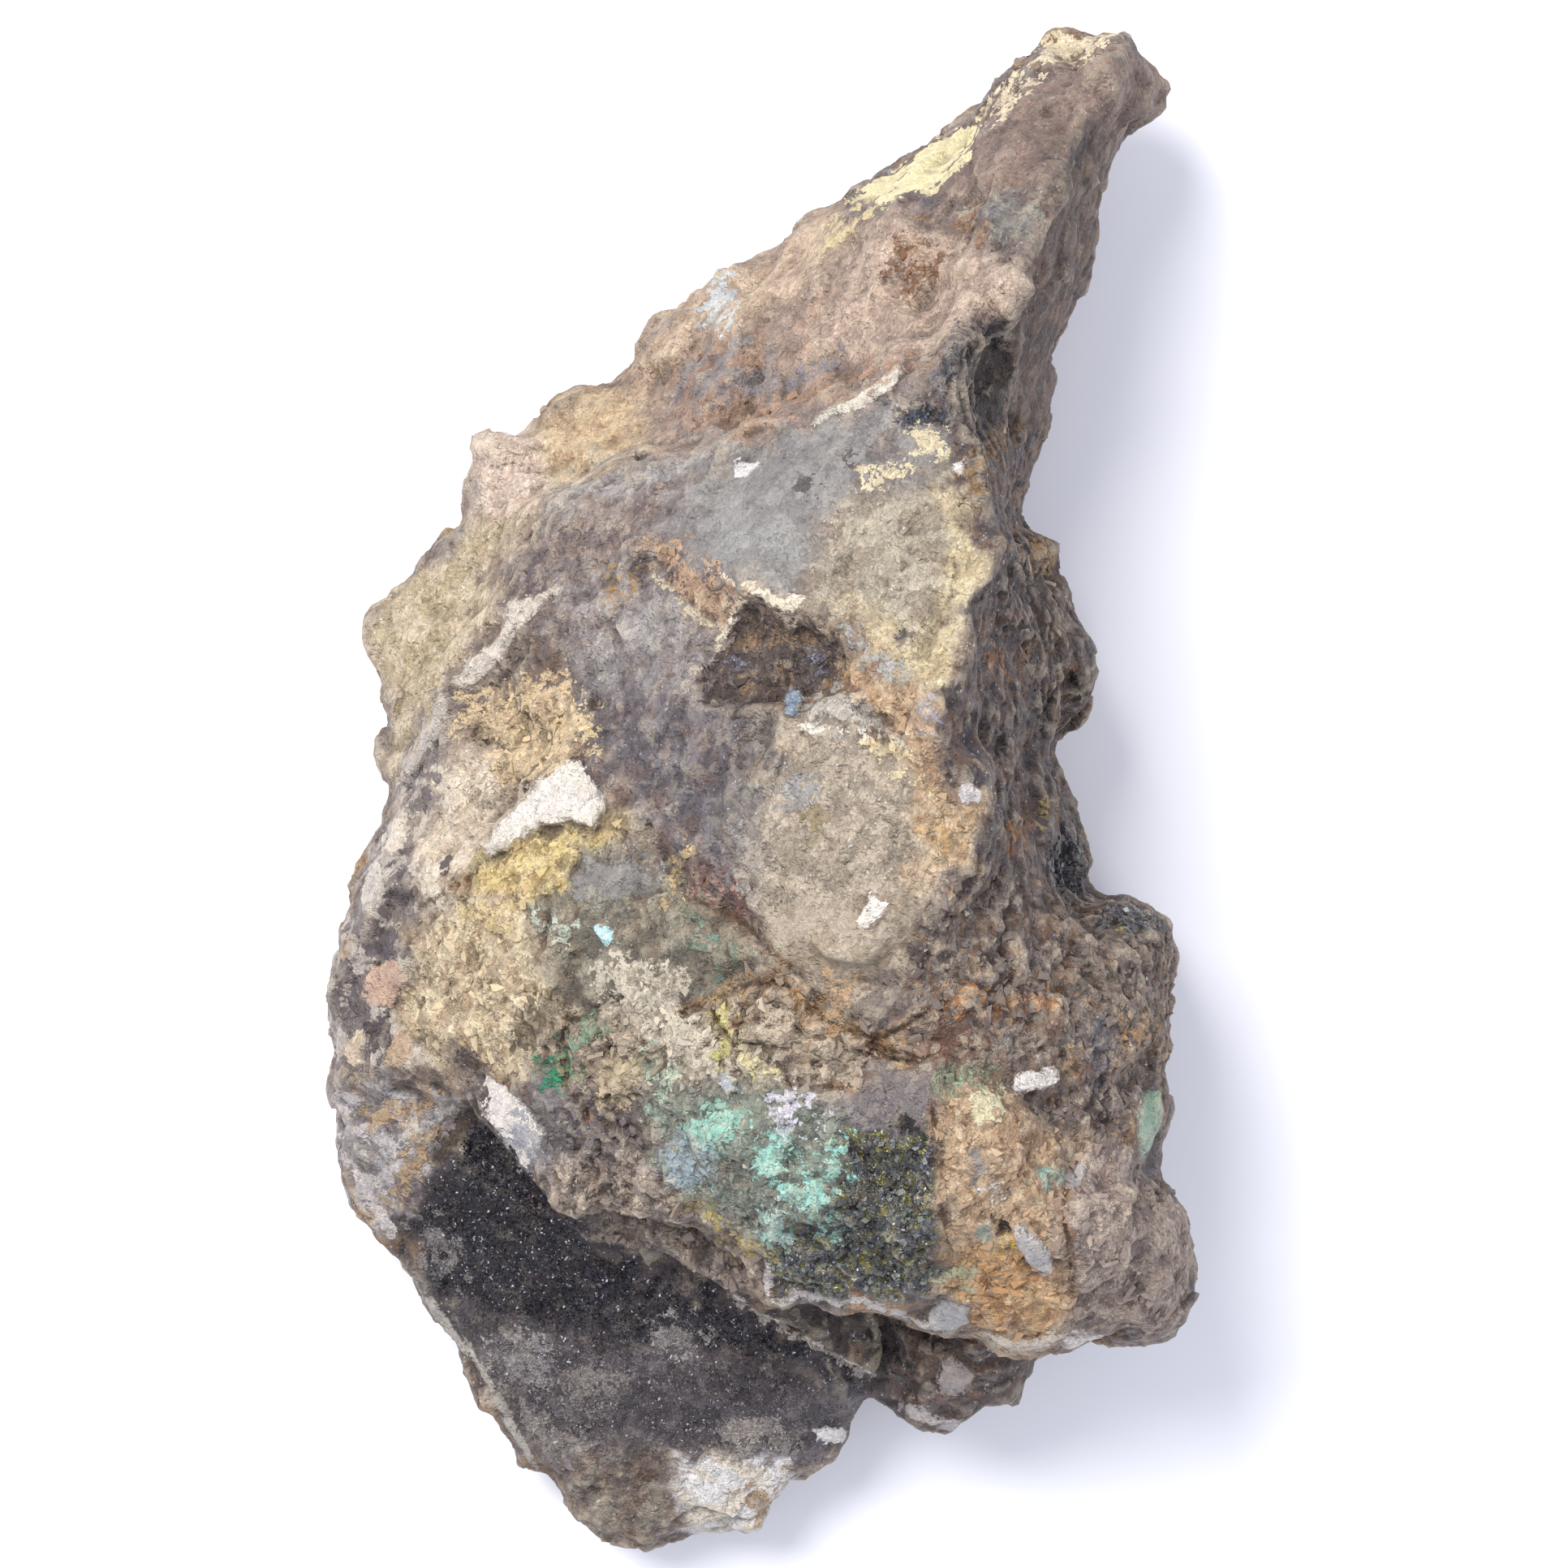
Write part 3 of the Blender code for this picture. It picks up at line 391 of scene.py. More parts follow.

# %% [markdown]
# ## Details with their own edges
# These smaller patches lie over the ground with crisp edges: crusts, flakes, stains, pits. Each line
# gives the kind, the colour, how far the patch rises in mm (or sinks, below zero), and a width in mm. A
# width above zero makes the path a line instead of an outline. The yellow patch on the arm is a smear of
# paint and stays bare.

# %% Details
# The deepest sunk details, the small holes, the thin crevice lines and the recess high on the right flank,
# are painted near black and dark brown: that darkness is painted shade.
DETAIL_SHEET = """
paint .87 .81 .60 0.05 0: 1037,247 1075,225 1110,205 1150,175 1180,160 1210,150 1205,170 1195,195
    1180,210 1165,222 1150,235 1110,240 1090,255 1060,248
sugar .85 .77 .62 0.15 0: 1205,160 1230,120 1265,85 1290,55 1320,42 1350,48 1380,40 1350,62 1320,75
    1300,72 1280,90 1250,125 1225,150
sugar .80 .72 .52 0.1 1.1: 1020,300 1040,280 1060,255
rusty .50 .34 .22 -0.5 0: 1100,330 1110,300 1135,290 1150,310 1145,345 1120,360
rusty .50 .34 .22 -0.1 0: 1180,270 1195,265 1212,276 1205,290 1186,288
rock .48 .47 .43 0 0: 1220,250 1250,245 1280,262 1270,295 1240,300 1225,280
rock .72 .74 .74 0.1 0: 860,375 880,345 900,340 905,370 885,400 866,398
dark .22 .19 .18 -0.6 0: 1170,470 1190,410 1235,400 1250,450 1245,520 1210,545 1175,520
ore .25 .24 .26 -0.2 0: 1160,495 1165,440 1180,402 1190,430 1178,480
quartz .78 .75 .68 0.35 0: 1000,522 1010,508 1040,492 1070,476 1090,460 1110,448 1115,455 1100,475
    1085,488 1060,500 1030,510 1012,524
ore .22 .23 .28 -0.25 0: 1090,498 1105,500 1130,505 1160,500 1170,510 1165,525 1150,522 1130,522
    1118,530 1110,512
sugar .81 .74 .58 0.15 0: 1115,535 1150,525 1166,540 1170,565 1125,560
sugar .81 .74 .58 0.15 0: 1060,575 1110,575 1120,592 1105,600 1070,598
rock .45 .40 .38 0.35 0: 1068,545 1080,527 1100,530 1104,553 1088,566 1072,560
dark .30 .26 .26 0 0: 985,596 1000,590 1005,600 992,604
dark .30 .26 .26 0 0: 1045,563 1055,558 1058,568 1048,572
quartz .84 .82 .80 0.1 0: 905,575 920,565 935,572 928,588 912,590
quartz .84 .82 .80 0.1 0: 1175,572 1184,570 1185,581 1177,582
vein .87 .80 .69 0.15 0: 878,800 880,780 897,757 905,737 920,726 945,722 962,733 985,738 1000,735
    985,745 965,752 945,745 925,734 910,755 897,782 886,803
vein .85 .77 .65 0.03 0.45: 868,700 900,716 930,722
dark .28 .23 .22 -0.35 0: 928,736 938,738 949,748 961,763 988,771 1015,771 1026,782 1034,798 1030,840
    1018,846 999,859 988,875 976,878 968,867 953,871 934,877 915,875 884,871 861,867 863,852 868,825 888,805
    899,782 913,755
dark .08 .06 .06 -0.5 0.55: 950,812 968,808 985,812
rusty .52 .40 .28 0.1 0.3: 905,800 930,792 960,798 1000,790
rusty .48 .37 .27 0.1 0.25: 885,845 910,835 935,842 960,832
rusty .55 .44 .32 0.1 0.25: 925,765 950,772 975,782
ore .45 .45 .50 0.1 0: 895,812 912,806 918,818 902,824
ore .42 .42 .48 0.1 0: 990,812 1008,806 1014,822 998,828
quartz .45 .55 .65 0.25 0: 966,862 972,850 986,848 990,860 982,876 972,878
earth .67 .53 .41 0 0: 805,665 835,670 850,690 870,705 900,722 905,740 890,760 870,755 850,745 835,735
    820,715 800,700 800,675
sugar .78 .62 .45 0 0: 862,725 880,722 898,738 886,755 868,748
vein .80 .73 .59 0.03 0.5: 808,708 838,738 862,758 882,772
earth .66 .50 .28 -0.5 0: 752,705 770,705 782,710 775,725 762,738 752,735
dark .35 .29 .31 -0.1 0: 660,716 674,710 677,732 665,741
dark .37 .31 .32 -0.1 0: 640,705 655,678 678,672 668,700 652,728
smooth .62 .61 .58 0 0: 1045,775 1065,790 1090,815 1120,825 1110,833 1085,830 1060,810 1050,790
dark .28 .25 .25 0 0: 1105,778 1116,773 1125,783 1113,788
sugar .68 .65 .60 0 0: 985,860 1040,850 1080,880 1085,900 1040,893 1000,895
vein .84 .81 .74 0.03 0.45: 985,893 1010,899 1030,891 1055,900 1080,903 1110,914
rock .56 .53 .57 0 0: 1134,868 1146,860 1152,874 1147,893 1136,892
sugar .84 .75 .57 0 0: 1065,905 1110,912 1125,945 1140,975 1125,975 1105,940 1075,925
rock .55 .48 .33 0 0: 990,1005 1008,990 1030,1000 1025,1028 1000,1035
rock .57 .56 .55 0 0: 955,975 970,960 1005,962 1010,978 990,990 962,988
dark .33 .29 .29 -0.1 0: 938,925 950,918 960,928 948,936
quartz .74 .73 .74 0.05 0: 1180,972 1195,968 1207,976 1204,988 1186,989
earth .75 .58 .36 0 0: 1140,1030 1156,1020 1175,1025 1172,1042 1150,1046
earth .74 .58 .42 0 0: 1008,1212 1030,1203 1056,1210 1050,1232 1020,1236
rock .47 .42 .38 0.3 0: 1057,1240 1075,1215 1100,1205 1115,1215 1112,1245 1085,1262 1065,1258
quartz .95 .90 .85 0.5 0: 1077,1100 1085,1108 1097,1112 1097,1122 1087,1126 1080,1137 1070,1145
    1058,1146 1050,1138 1062,1128 1068,1115 1073,1105
rusty .45 .31 .29 -0.3 0: 842,1066 885,1075 915,1100 938,1130 930,1152 905,1130 880,1105 855,1100
rock .72 .55 .47 0 0.7: 860,1096 880,1106 902,1104
quartz .75 .70 .64 0.3 0: 695,722 660,735 632,740 618,770 600,800 575,815 555,845 575,850 598,838
    615,805 640,775 665,745
quartz .66 .62 .58 0.2 1.1: 545,866 528,900 508,935 500,952
dark .28 .23 .22 -0.2 0.7: 606,846 622,830 640,812
crust .80 .69 .52 0.15 0: 575,870 600,850 640,845 700,840 712,855 728,870 730,895 728,925 700,935
    680,950 650,960 620,958 605,940 600,915 585,905 560,900 555,890
crust .80 .70 .50 0.15 0: 702,896 718,888 731,900 726,926 708,930
dark .10 .07 .06 -0.9 0: 620,896 630,889 641,895 636,903 624,903
dark .25 .17 .12 -0.5 0: 590,912 600,904 607,912 598,921
dark .25 .17 .12 -0.5 0: 640,962 648,950 653,963 646,976
dark .16 .11 .09 -0.7 0: 668,872 680,868 690,876 680,884 670,882
quartz .84 .80 .75 0.7 0: 690,940 715,932 725,950 740,975 745,1000 735,1020 700,1012 670,1018 640,1035
    600,1055 595,1045 620,1015 640,990 660,965 680,950
rock .42 .38 .37 -0.1 0: 505,985 518,958 540,956 535,985 515,1000
rock .33 .29 .30 -0.2 0: 450,1170 462,1142 488,1140 486,1170 468,1190
rock .30 .25 .26 -0.2 0: 446,1285 458,1256 478,1258 480,1285 462,1296
rock .30 .26 .27 -0.2 0: 470,1330 485,1312 500,1320 495,1344 478,1345
dark .30 .26 .25 -0.2 0: 540,1080 550,1060 560,1068 556,1090
quartz .75 .60 .50 0.1 0: 442,1230 455,1192 485,1185 500,1205 490,1235 462,1242
quartz .70 .57 .43 0.1 0: 472,1315 485,1272 508,1275 508,1300 492,1320
dark .36 .32 .33 -0.1 0: 420,1215 436,1200 450,1215 446,1245 425,1250
dark .34 .30 .31 -0.1 0: 478,1085 492,1070 508,1080 500,1108 482,1112
quartz .80 .74 .66 0.1 0: 470,1030 485,1005 502,1012 498,1045 478,1055
quartz .78 .69 .58 0.1 0: 425,1290 440,1262 452,1275 448,1312 430,1320
quartz .74 .70 .64 0.1 0: 440,1108 450,1068 468,1060 470,1090 455,1112
earth .82 .72 .46 0.05 0: 598,1078 640,1050 698,1028 714,1044 664,1076 622,1100
earth .80 .70 .48 0 0: 572,1124 600,1106 650,1112 642,1142 600,1152
earth .78 .66 .42 0 0.8: 605,1094 650,1088 700,1090
earth .76 .64 .42 0 0.7: 822,1105 832,1070 850,1042
smooth .50 .48 .46 0 0: 700,1085 720,1064 780,1060 820,1075 812,1100 760,1108 712,1104
crust .72 .76 .68 0.05 0.5: 650,1122 668,1136 695,1148
quartz .60 .82 .86 0.35 0: 732,1140 752,1138 755,1150 750,1165 738,1160 732,1150
crust .40 .52 .44 0.05 0.4: 852,1132 866,1150 872,1172
crust .40 .52 .44 0.05 0.35: 880,1160 890,1180 886,1198
crust .76 .71 .62 0.2 0: 730,1185 770,1178 835,1190 850,1215 838,1232 850,1250 880,1262 905,1290
    945,1302 940,1318 890,1322 860,1335 835,1310 800,1290 770,1262 750,1230
crust .70 .72 .62 0.2 0: 810,1320 828,1308 846,1318 840,1340 818,1340
crust .78 .74 .40 0.1 0.8: 884,1242 896,1262 890,1288
crust .70 .62 .48 0.2 0: 722,1320 745,1300 788,1305 792,1335 770,1365 735,1362
rock .38 .32 .22 -0.1 0: 628,1270 650,1232 690,1228 700,1262 668,1290 640,1296
crust .13 .52 .36 0.2 0: 670,1300 690,1290 700,1300 705,1320 710,1330 692,1330 690,1347 672,1345
    660,1340 668,1325 675,1310
crust .35 .55 .42 0.1 0: 690,1290 715,1275 735,1260 742,1265 720,1285 700,1300
dark .24 .20 .18 -0.3 0: 562,1300 585,1294 600,1310 595,1345 570,1345
rusty .64 .48 .30 0.1 0.9: 880,1232 925,1216 970,1216 1010,1254 1060,1278 1110,1296
earth .80 .74 .50 0.05 0.8: 905,1290 925,1318 955,1330
crust .60 .68 .58 0.1 0.6: 800,1300 815,1335 812,1365
crust .50 .72 .63 0.3 0: 855,1375 880,1365 900,1370 905,1390 903,1410 885,1410 860,1408 845,1398
crust .55 .76 .68 0.15 0: 852,1378 880,1360 915,1372 908,1400 890,1420 862,1425 842,1402
crust .50 .60 .60 0.1 0: 828,1440 850,1428 872,1440 880,1465 858,1478 836,1462
crust .56 .78 .71 0.2 0: 938,1400 962,1388 980,1402 972,1440 985,1455 1012,1448 1018,1415 1040,1408
    1040,1450 1020,1485 985,1492 955,1478 936,1440
crust .56 .74 .68 0.2 0: 940,1492 962,1484 980,1500 972,1528 950,1540 934,1520
crust .42 .60 .55 0.1 0: 1000,1500 1022,1492 1036,1510 1020,1530 1002,1524
crust .64 .74 .70 0.3 0: 942,1490 958,1480 972,1492 966,1526 950,1534 940,1515
crust .56 .62 .64 0.1 0: 820,1420 840,1400 870,1412 875,1445 852,1470 826,1460
quartz .62 .64 .66 0.1 0: 880,1330 898,1320 905,1340 890,1350
crust .78 .76 .80 0.15 0: 945,1368 962,1345 990,1350 1005,1375 985,1395 958,1390
earth .63 .56 .31 0.05 1.1: 860,1480 888,1518 920,1536 950,1546
both quartz .82 .78 .74 0.3 0: 588,1345 602,1322 640,1352 670,1396 650,1442 618,1402 592,1368
both smooth .56 .56 .58 0 0: 622,1378 648,1372 667,1398 650,1436 626,1404
both quartz .68 .65 .63 0.05 0.6: 945,1560 948,1598 962,1608 985,1596 1010,1598 1060,1606 1110,1620
    1150,1634
quartz .60 .60 .60 0.3 0: 1142,1615 1160,1600 1188,1606 1196,1630 1175,1642 1148,1636
dark .12 .10 .10 -0.6 0.5: 1105,1376 1120,1386 1136,1400
quartz .85 .82 .80 0.5 0: 1253,1322 1275,1318 1298,1315 1305,1320 1305,1335 1285,1340 1262,1342
    1245,1345
sugar .82 .78 .60 0.1 0: 1196,1345 1212,1330 1234,1340 1236,1370 1215,1386 1198,1372
crust .45 .48 .38 0 0: 1152,1340 1165,1306 1195,1300 1215,1316 1200,1340 1175,1350
crust .58 .66 .52 0.1 0.7: 1192,1332 1204,1326 1216,1322
smooth .50 .48 .48 0 0: 1197,1425 1207,1423 1213,1440 1215,1460 1205,1462 1197,1445
sugar .82 .78 .74 0.1 0: 1216,1468 1226,1455 1240,1460 1238,1474 1224,1478
crust .60 .72 .65 0.1 0: 1270,1447 1285,1436 1308,1440 1306,1454 1284,1457
dark .09 .07 .07 -0.9 0: 1225,1520 1232,1502 1248,1500 1251,1518 1240,1530
quartz .52 .55 .48 0.1 0: 1200,1520 1208,1505 1222,1508 1224,1526 1210,1531
crust .80 .68 .15 0.2 0: 1232,1534 1238,1521 1245,1524 1244,1538 1236,1541
quartz .62 .61 .62 0.4 0: 1250,1510 1265,1505 1275,1520 1290,1540 1300,1560 1290,1568 1270,1560
    1255,1545 1248,1525
quartz .66 .63 .62 0.3 0: 1315,1470 1310,1450 1325,1435 1342,1425 1340,1440 1328,1460
earth .82 .66 .46 0 0: 1240,1600 1262,1582 1300,1584 1316,1602 1290,1620 1256,1620
both quartz .76 .70 .62 0.1 0: 1200,1640 1230,1648 1270,1650 1300,1640 1302,1658 1270,1668 1225,1662
crust .62 .62 .48 0 0: 1162,1572 1180,1560 1200,1570 1190,1590 1168,1590
quartz .78 .74 .70 0.2 0: 1305,1648 1340,1642 1388,1648 1385,1660 1340,1662 1310,1660
quartz .50 .62 .50 0.1 0: 1408,1440 1402,1400 1410,1345 1432,1342 1440,1390 1436,1442
rusty .66 .42 .20 0 0: 1165,1240 1172,1218 1195,1214 1206,1232 1192,1250
rusty .66 .42 .20 0 0.9: 1240,1238 1270,1230 1300,1236
rusty .42 .28 .22 0 0: 1130,1295 1145,1272 1190,1268 1220,1282 1205,1308 1160,1310
rusty .62 .47 .32 0 0: 1370,1282 1385,1262 1420,1260 1432,1278 1405,1292
rusty .62 .47 .32 0 0: 1310,1320 1318,1294 1338,1292 1341,1318 1326,1330
ore .30 .29 .31 0.2 0: 1345,1145 1352,1114 1390,1108 1432,1124 1436,1148 1390,1152
dark .36 .34 .37 0 0: 1340,1300 1345,1255 1365,1250 1372,1300 1360,1345 1344,1340
rusty .62 .38 .16 0 0: 1215,820 1220,802 1234,804 1235,828 1222,836
rusty .60 .38 .18 0 0: 1240,1030 1250,1010 1270,1014 1268,1036 1248,1040
dark .09 .07 .07 -0.8 0: 1274,882 1285,865 1300,870 1299,888 1284,892
dark .09 .07 .07 -0.7 0: 1315,845 1320,830 1331,834 1328,850
dark .10 .08 .08 -0.7 0: 1220,922 1228,900 1240,908 1236,930
ore .20 .20 .22 -0.6 0: 1285,1060 1300,1025 1330,1022 1341,1060 1336,1108 1302,1106
crust .62 .52 .28 0.2 0: 1283,1010 1285,998 1293,990 1295,998 1290,1008
earth .70 .56 .38 0.4 0: 1262,680 1270,652 1290,650 1302,675 1292,700 1270,702
rusty .50 .37 .22 0 1.2: 1192,600 1215,565 1248,532
earth .62 .48 .38 0 1.2: 905,520 980,492 1060,462 1118,440
smooth .50 .47 .48 0 0.9: 900,492 970,468 1040,446
low druse .46 .43 .42 0 0: 510,1500 535,1505 565,1545 560,1580 530,1560
low druse .52 .49 .48 0 0: 600,1650 640,1640 680,1665 675,1700 630,1705 605,1680
low druse .48 .44 .42 0 0: 690,1690 730,1672 765,1700 750,1740 705,1735
low druse .50 .47 .46 0 0: 800,1640 835,1625 872,1640 860,1668 820,1668
low druse .24 .21 .22 0 0: 560,1620 600,1612 640,1622 620,1642 580,1645
low druse .22 .19 .20 0 0: 700,1640 745,1632 775,1655 750,1672 712,1668
low druse .22 .19 .20 0 0: 870,1690 920,1672 985,1700 960,1735 900,1722
low druse .54 .50 .47 0 0: 880,1760 930,1745 985,1762 970,1795 905,1792
low druse .50 .46 .44 0 0: 640,1730 690,1752 740,1785 690,1800 650,1775
low earth .66 .54 .40 0.1 0.9: 455,1376 500,1374 525,1348 560,1346
low earth .66 .54 .40 0.1 1.1: 538,1392 520,1425 500,1450 484,1478
low quartz .72 .67 .65 0.1 1: 440,1446 458,1478 480,1518
low dark .25 .19 .15 0 1.1: 596,1352 570,1382 548,1420
low quartz .60 .57 .53 0.1 0.7: 530,1604 600,1700 660,1806
low rusty .32 .24 .18 -0.1 0.6: 788,1800 794,1820 786,1842
low earth .62 .50 .36 0 0.7: 930,1842 948,1852 944,1866
low quartz .85 .83 .82 0.15 0: 1002,1762 1020,1754 1040,1762 1034,1778 1010,1778
low quartz .58 .53 .51 0.15 0: 1152,1712 1160,1676 1175,1670 1200,1700 1188,1720
low quartz .65 .62 .62 0.1 0.8: 1115,1736 1150,1752 1182,1754
low quartz .64 .60 .57 0.05 0.6: 905,1600 960,1637 1000,1655 1040,1680 1080,1698
low dark .08 .06 .06 -0.6 0.5: 1087,1612 1086,1650 1088,1700
"""
DETAILS = [
    (level, words[0], numbers(words[1:4]), float(words[4]), float(words[5]), path)
    for level, words, path in read_sheet(DETAIL_SHEET)
]
print(len(DETAILS), "details")

# %% [markdown]
# ## Cracks
# Thin brown lines where the rock has split and iron has seeped in. The first number is the depth in mm.

# %% Cracks
CRACK_SHEET = """
0.7: 840,1245 860,1238 880,1228 900,1218 925,1212 950,1207 970,1212 990,1228 1010,1250 1035,1266
    1060,1272 1085,1283 1100,1275 1120,1262 1140,1245
0.4: 870,1285 890,1272 910,1262 930,1256 950,1262
0.5: 990,1280 1020,1275 1050,1290 1075,1302 1100,1306 1150,1302
0.4: 975,1338 1000,1340 1040,1337 1065,1325
0.5: 850,1105 880,1120 905,1130 930,1152 957,1178 988,1205 1007,1230
0.4: 700,1250 690,1290 700,1340 720,1375
0.4: 1150,1370 1160,1420 1158,1480 1170,1530
0.4: 1330,1420 1310,1480 1318,1540 1322,1600
0.3: 530,1110 570,1090 600,1060 640,1040
"""
CRACKS = [(float(words[0]), path) for _, words, path in read_sheet(CRACK_SHEET)]

# %% [markdown]
# ## From the solid to a fine skin
# The CAD solid's triangles are too large for fine relief. A voxel remesh lays an even net of 0.36 mm over
# it, and a few rounds of averaging melt the old triangle edges while the ridges stay.

# %% Fine skin
SKIN_STEP = 0.36 * MM
MELTING_ROUNDS = 8
MELTING_SHARE = 0.5


def arrays_of(mesh):
    """The vertices (mm), edges and normals of a mesh."""
    points = np.empty(len(mesh.vertices) * 3, np.float32)
    mesh.vertices.foreach_get("co", points)
    edges = np.empty(len(mesh.edges) * 2, np.int32)
    mesh.edges.foreach_get("vertices", edges)
    normals = np.empty(len(mesh.vertices) * 3, np.float32)
    mesh.vertex_normals.foreach_get("vector", normals)
    points = points.reshape(-1, 3).astype(float) / MM
    return points, edges.reshape(-1, 2), normals.reshape(-1, 3).astype(float)


def put_points(mesh, points):
    mesh.vertices.foreach_set("co", (points * MM).astype(np.float32).ravel())
    mesh.update()


def averaged(values, edges):
    """Each vertex's average over its neighbours."""
    count = np.bincount(edges.ravel(), minlength=len(values))
    total = np.empty_like(values)
    for axis in range(values.shape[1]):
        total[:, axis] = np.bincount(edges[:, 0], values[edges[:, 1], axis], len(values))
        total[:, axis] += np.bincount(edges[:, 1], values[edges[:, 0], axis], len(values))
    return total / np.maximum(count, 1)[:, None]


def with_modifiers(obj, name):
    """A new mesh with the object's modifiers worked in."""
    graph = bpy.context.evaluated_depsgraph_get()
    mesh = bpy.data.meshes.new_from_object(obj.evaluated_get(graph))
    mesh.name = name
    obj.modifiers.clear()
    return mesh


skin = bpy.data.objects.new("rock_skin", rock.data.copy())
skin.data.materials.clear()
skin.matrix_world = rock.matrix_world.copy()
bpy.context.scene.collection.objects.link(skin)
net = skin.modifiers.new("net", "REMESH")
net.mode = "VOXEL"
net.voxel_size = SKIN_STEP
skin.data = with_modifiers(skin, "rock_skin")

points, edges, _ = arrays_of(skin.data)
box_low, box_high = points.min(0), points.max(0)
for _ in range(MELTING_ROUNDS):
    points += MELTING_SHARE * (averaged(points, edges) - points)
put_points(skin.data, points)
print("fine skin:", len(points), "vertices, box", box_low.round(1), box_high.round(1))

# %% [markdown]
# ## Laying patches on points
# `lay_ground` gives any set of points their two colours and their kind shares, `lay_details` each
# detail's reach, and `lay_cracks` the nearest crack. The relief uses them first, and the painting uses
# them again once the relief has moved the points. Points are shifted by noise before they are measured,
# because a slightly wandering outline looks grown, and a straight one cut with scissors. Bare rock, which
# no patch covers, has blotches, stains and pale dust of its own.

# %% Laying patches
LOW_PLAN = -23.5
LOW_HEIGHT = 27.5
MELT = 1.3
CRISP_MELT = 0.6
BARE_ROCK = ((0.50, 0.43, 0.37), (0.38, 0.32, 0.30))
BLOTCH_GREY = (0.44, 0.41, 0.42)
STAIN_BROWN = (0.60, 0.45, 0.30)
DUST = (0.64, 0.57, 0.49)
BLOTCH_SIZE = 15.0
STAIN_SIZE = 9.0
DUST_SIZE = 12.0
WANDER_SIZE = 2.6
GROUND_WANDER = 1.5
DETAIL_WANDER = 0.35
CRACK_WANDER = 0.22


def levels_of(points):
    """True for each point on the shelf, the plate or the chip."""
    return (points[:, 1] < LOW_PLAN) & (points[:, 2] < LOW_HEIGHT)


def shifted_spots(points, amount):
    """The points' places on the photograph, shifted by noise so that outlines wander."""
    spots = to_photo(points)
    for axis in range(2):
        wander = rough_noise(points, WANDER_SIZE, 40 + 9 * axis, 4, 0.6)
        spots[:, axis] += amount * PIXELS_PER_MM * wander
    return spots


def here(level, low):
    """Which points a patch of this level may cover."""
    if level == "both":
        return np.ones(len(low), bool)
    return low if level == "low" else ~low


def lay_ground(points, up):
    """Each point's main colour, mottle colour and kind shares."""
    low = levels_of(points)
    spots = shifted_spots(points, GROUND_WANDER)
    blotch = ramp(rough_noise(points, BLOTCH_SIZE, 71, 5, 0.6), -0.18, 0.22)[:, None]
    stain = ramp(rough_noise(points, STAIN_SIZE, 77, 4, 0.6), 0.16, 0.40)[:, None]
    pale = ramp(rough_noise(points, DUST_SIZE, 87, 5, 0.6), 0.05, 0.35)[:, None]
    main = np.array(BARE_ROCK[0]) * (1 - blotch) + np.array(BLOTCH_GREY) * blotch
    main = main * (1 - stain) + np.array(STAIN_BROWN) * stain
    main += pale * (np.array(DUST) - main)
    second = np.tile(BARE_ROCK[1], (len(points), 1)) * (1 + 0.25 * pale)
    shares = np.tile(KINDS["rock"], (len(points), 1))
    for level, kind, colour, mottle, outline in GROUND:
        melt = CRISP_MELT if kind in ("dark", "rusty", "ore", "quartz") else MELT
        cover = np.clip(0.5 + reach_of(spots, outline) / (2 * melt), 0, 1)
        cover = (cover * here(level, low) * up)[:, None]
        main += cover * (np.array(colour) - main)
        second += cover * (np.array(mottle) - second)
        shares += cover * (np.array(KINDS[kind]) - shares)
    return main, second, shares


def lay_details(points, up):
    """Each detail's reach in mm at each point."""
    low = levels_of(points)
    spots = shifted_spots(points, DETAIL_WANDER)
    reaches = []
    for level, kind, _, _, width, path in DETAILS:
        reach = reach_of(spots, path, width) * CRISPNESS[kind]
        reaches.append(np.where(here(level, low), reach, -FAR) - (1 - up) * FAR)
    return reaches


def lay_cracks(points, up):
    """The signed distance to the nearest crack, and how deep it is there."""
    spots = shifted_spots(points, CRACK_WANDER)
    side = np.full(len(points), FAR)
    depth = np.zeros(len(points))
    for deepest, path in CRACKS:
        gap, signed = line_distance(spots, path, False)
        closer = (gap < np.abs(side)) & (up > 0.4)
        side = np.where(closer, signed, side)
        depth = np.where(closer, deepest, depth)
    return side, depth * ~levels_of(points)


# %% [markdown]
# ## Relief
# Each kind of surface is rough in its own way. Quartz breaks in tilted flat faces. Ochre is crumbly and
# pitted. Sugary rock has small even grains. The details lift or sink with their own steps, and cracks are
# carved in. The factors below are heights in mm. The relief fades out near the shelf, so the rock still
# rests flat.

# %% Relief
LARGE_FACE = 4.2
SMALL_FACE = 1.9
TINY_FACE = 1.05
ROLL_SIZE = 3.2
PIT_SIZE = 1.6
CRUMB_SIZE = 1.1
CRACK_SHARE = 0.6
CRACK_HALF_WIDTH = 0.35

_, _, normals = arrays_of(skin.data)
up = ramp(normals[:, 2], 0.0, 0.3)
_, _, shares = lay_ground(points, up)
glassy, earthy, metallic, drusy, pitted, rugged = shares.T

large_face = grains(points + 0.6 * rolling(points, 3.0, 3)[:, None], LARGE_FACE, 11)
small_face = grains(points, SMALL_FACE, 23)
tiny_face = grains(points, TINY_FACE, 37)
rolls = rough_noise(points, ROLL_SIZE, 51, 4, 0.6)
pits = ramp(rough_noise(points, PIT_SIZE, 61, 2), 0.18, 0.42)
crumbs = rough_noise(points, CRUMB_SIZE, 91, 2, 0.6)

height = 0.20 * rolls
height += (0.42 + 0.16 * glassy) * large_face
height += (0.24 + 0.10 * glassy + 0.08 * metallic) * small_face
height += (0.06 + 0.08 * drusy + 0.08 * earthy) * tiny_face
height += (0.06 + 0.12 * earthy) * crumbs
height -= (0.05 + 0.45 * pitted) * pits
height *= rugged
calm = ramp(points[:, 2], 0.1, 1.2)

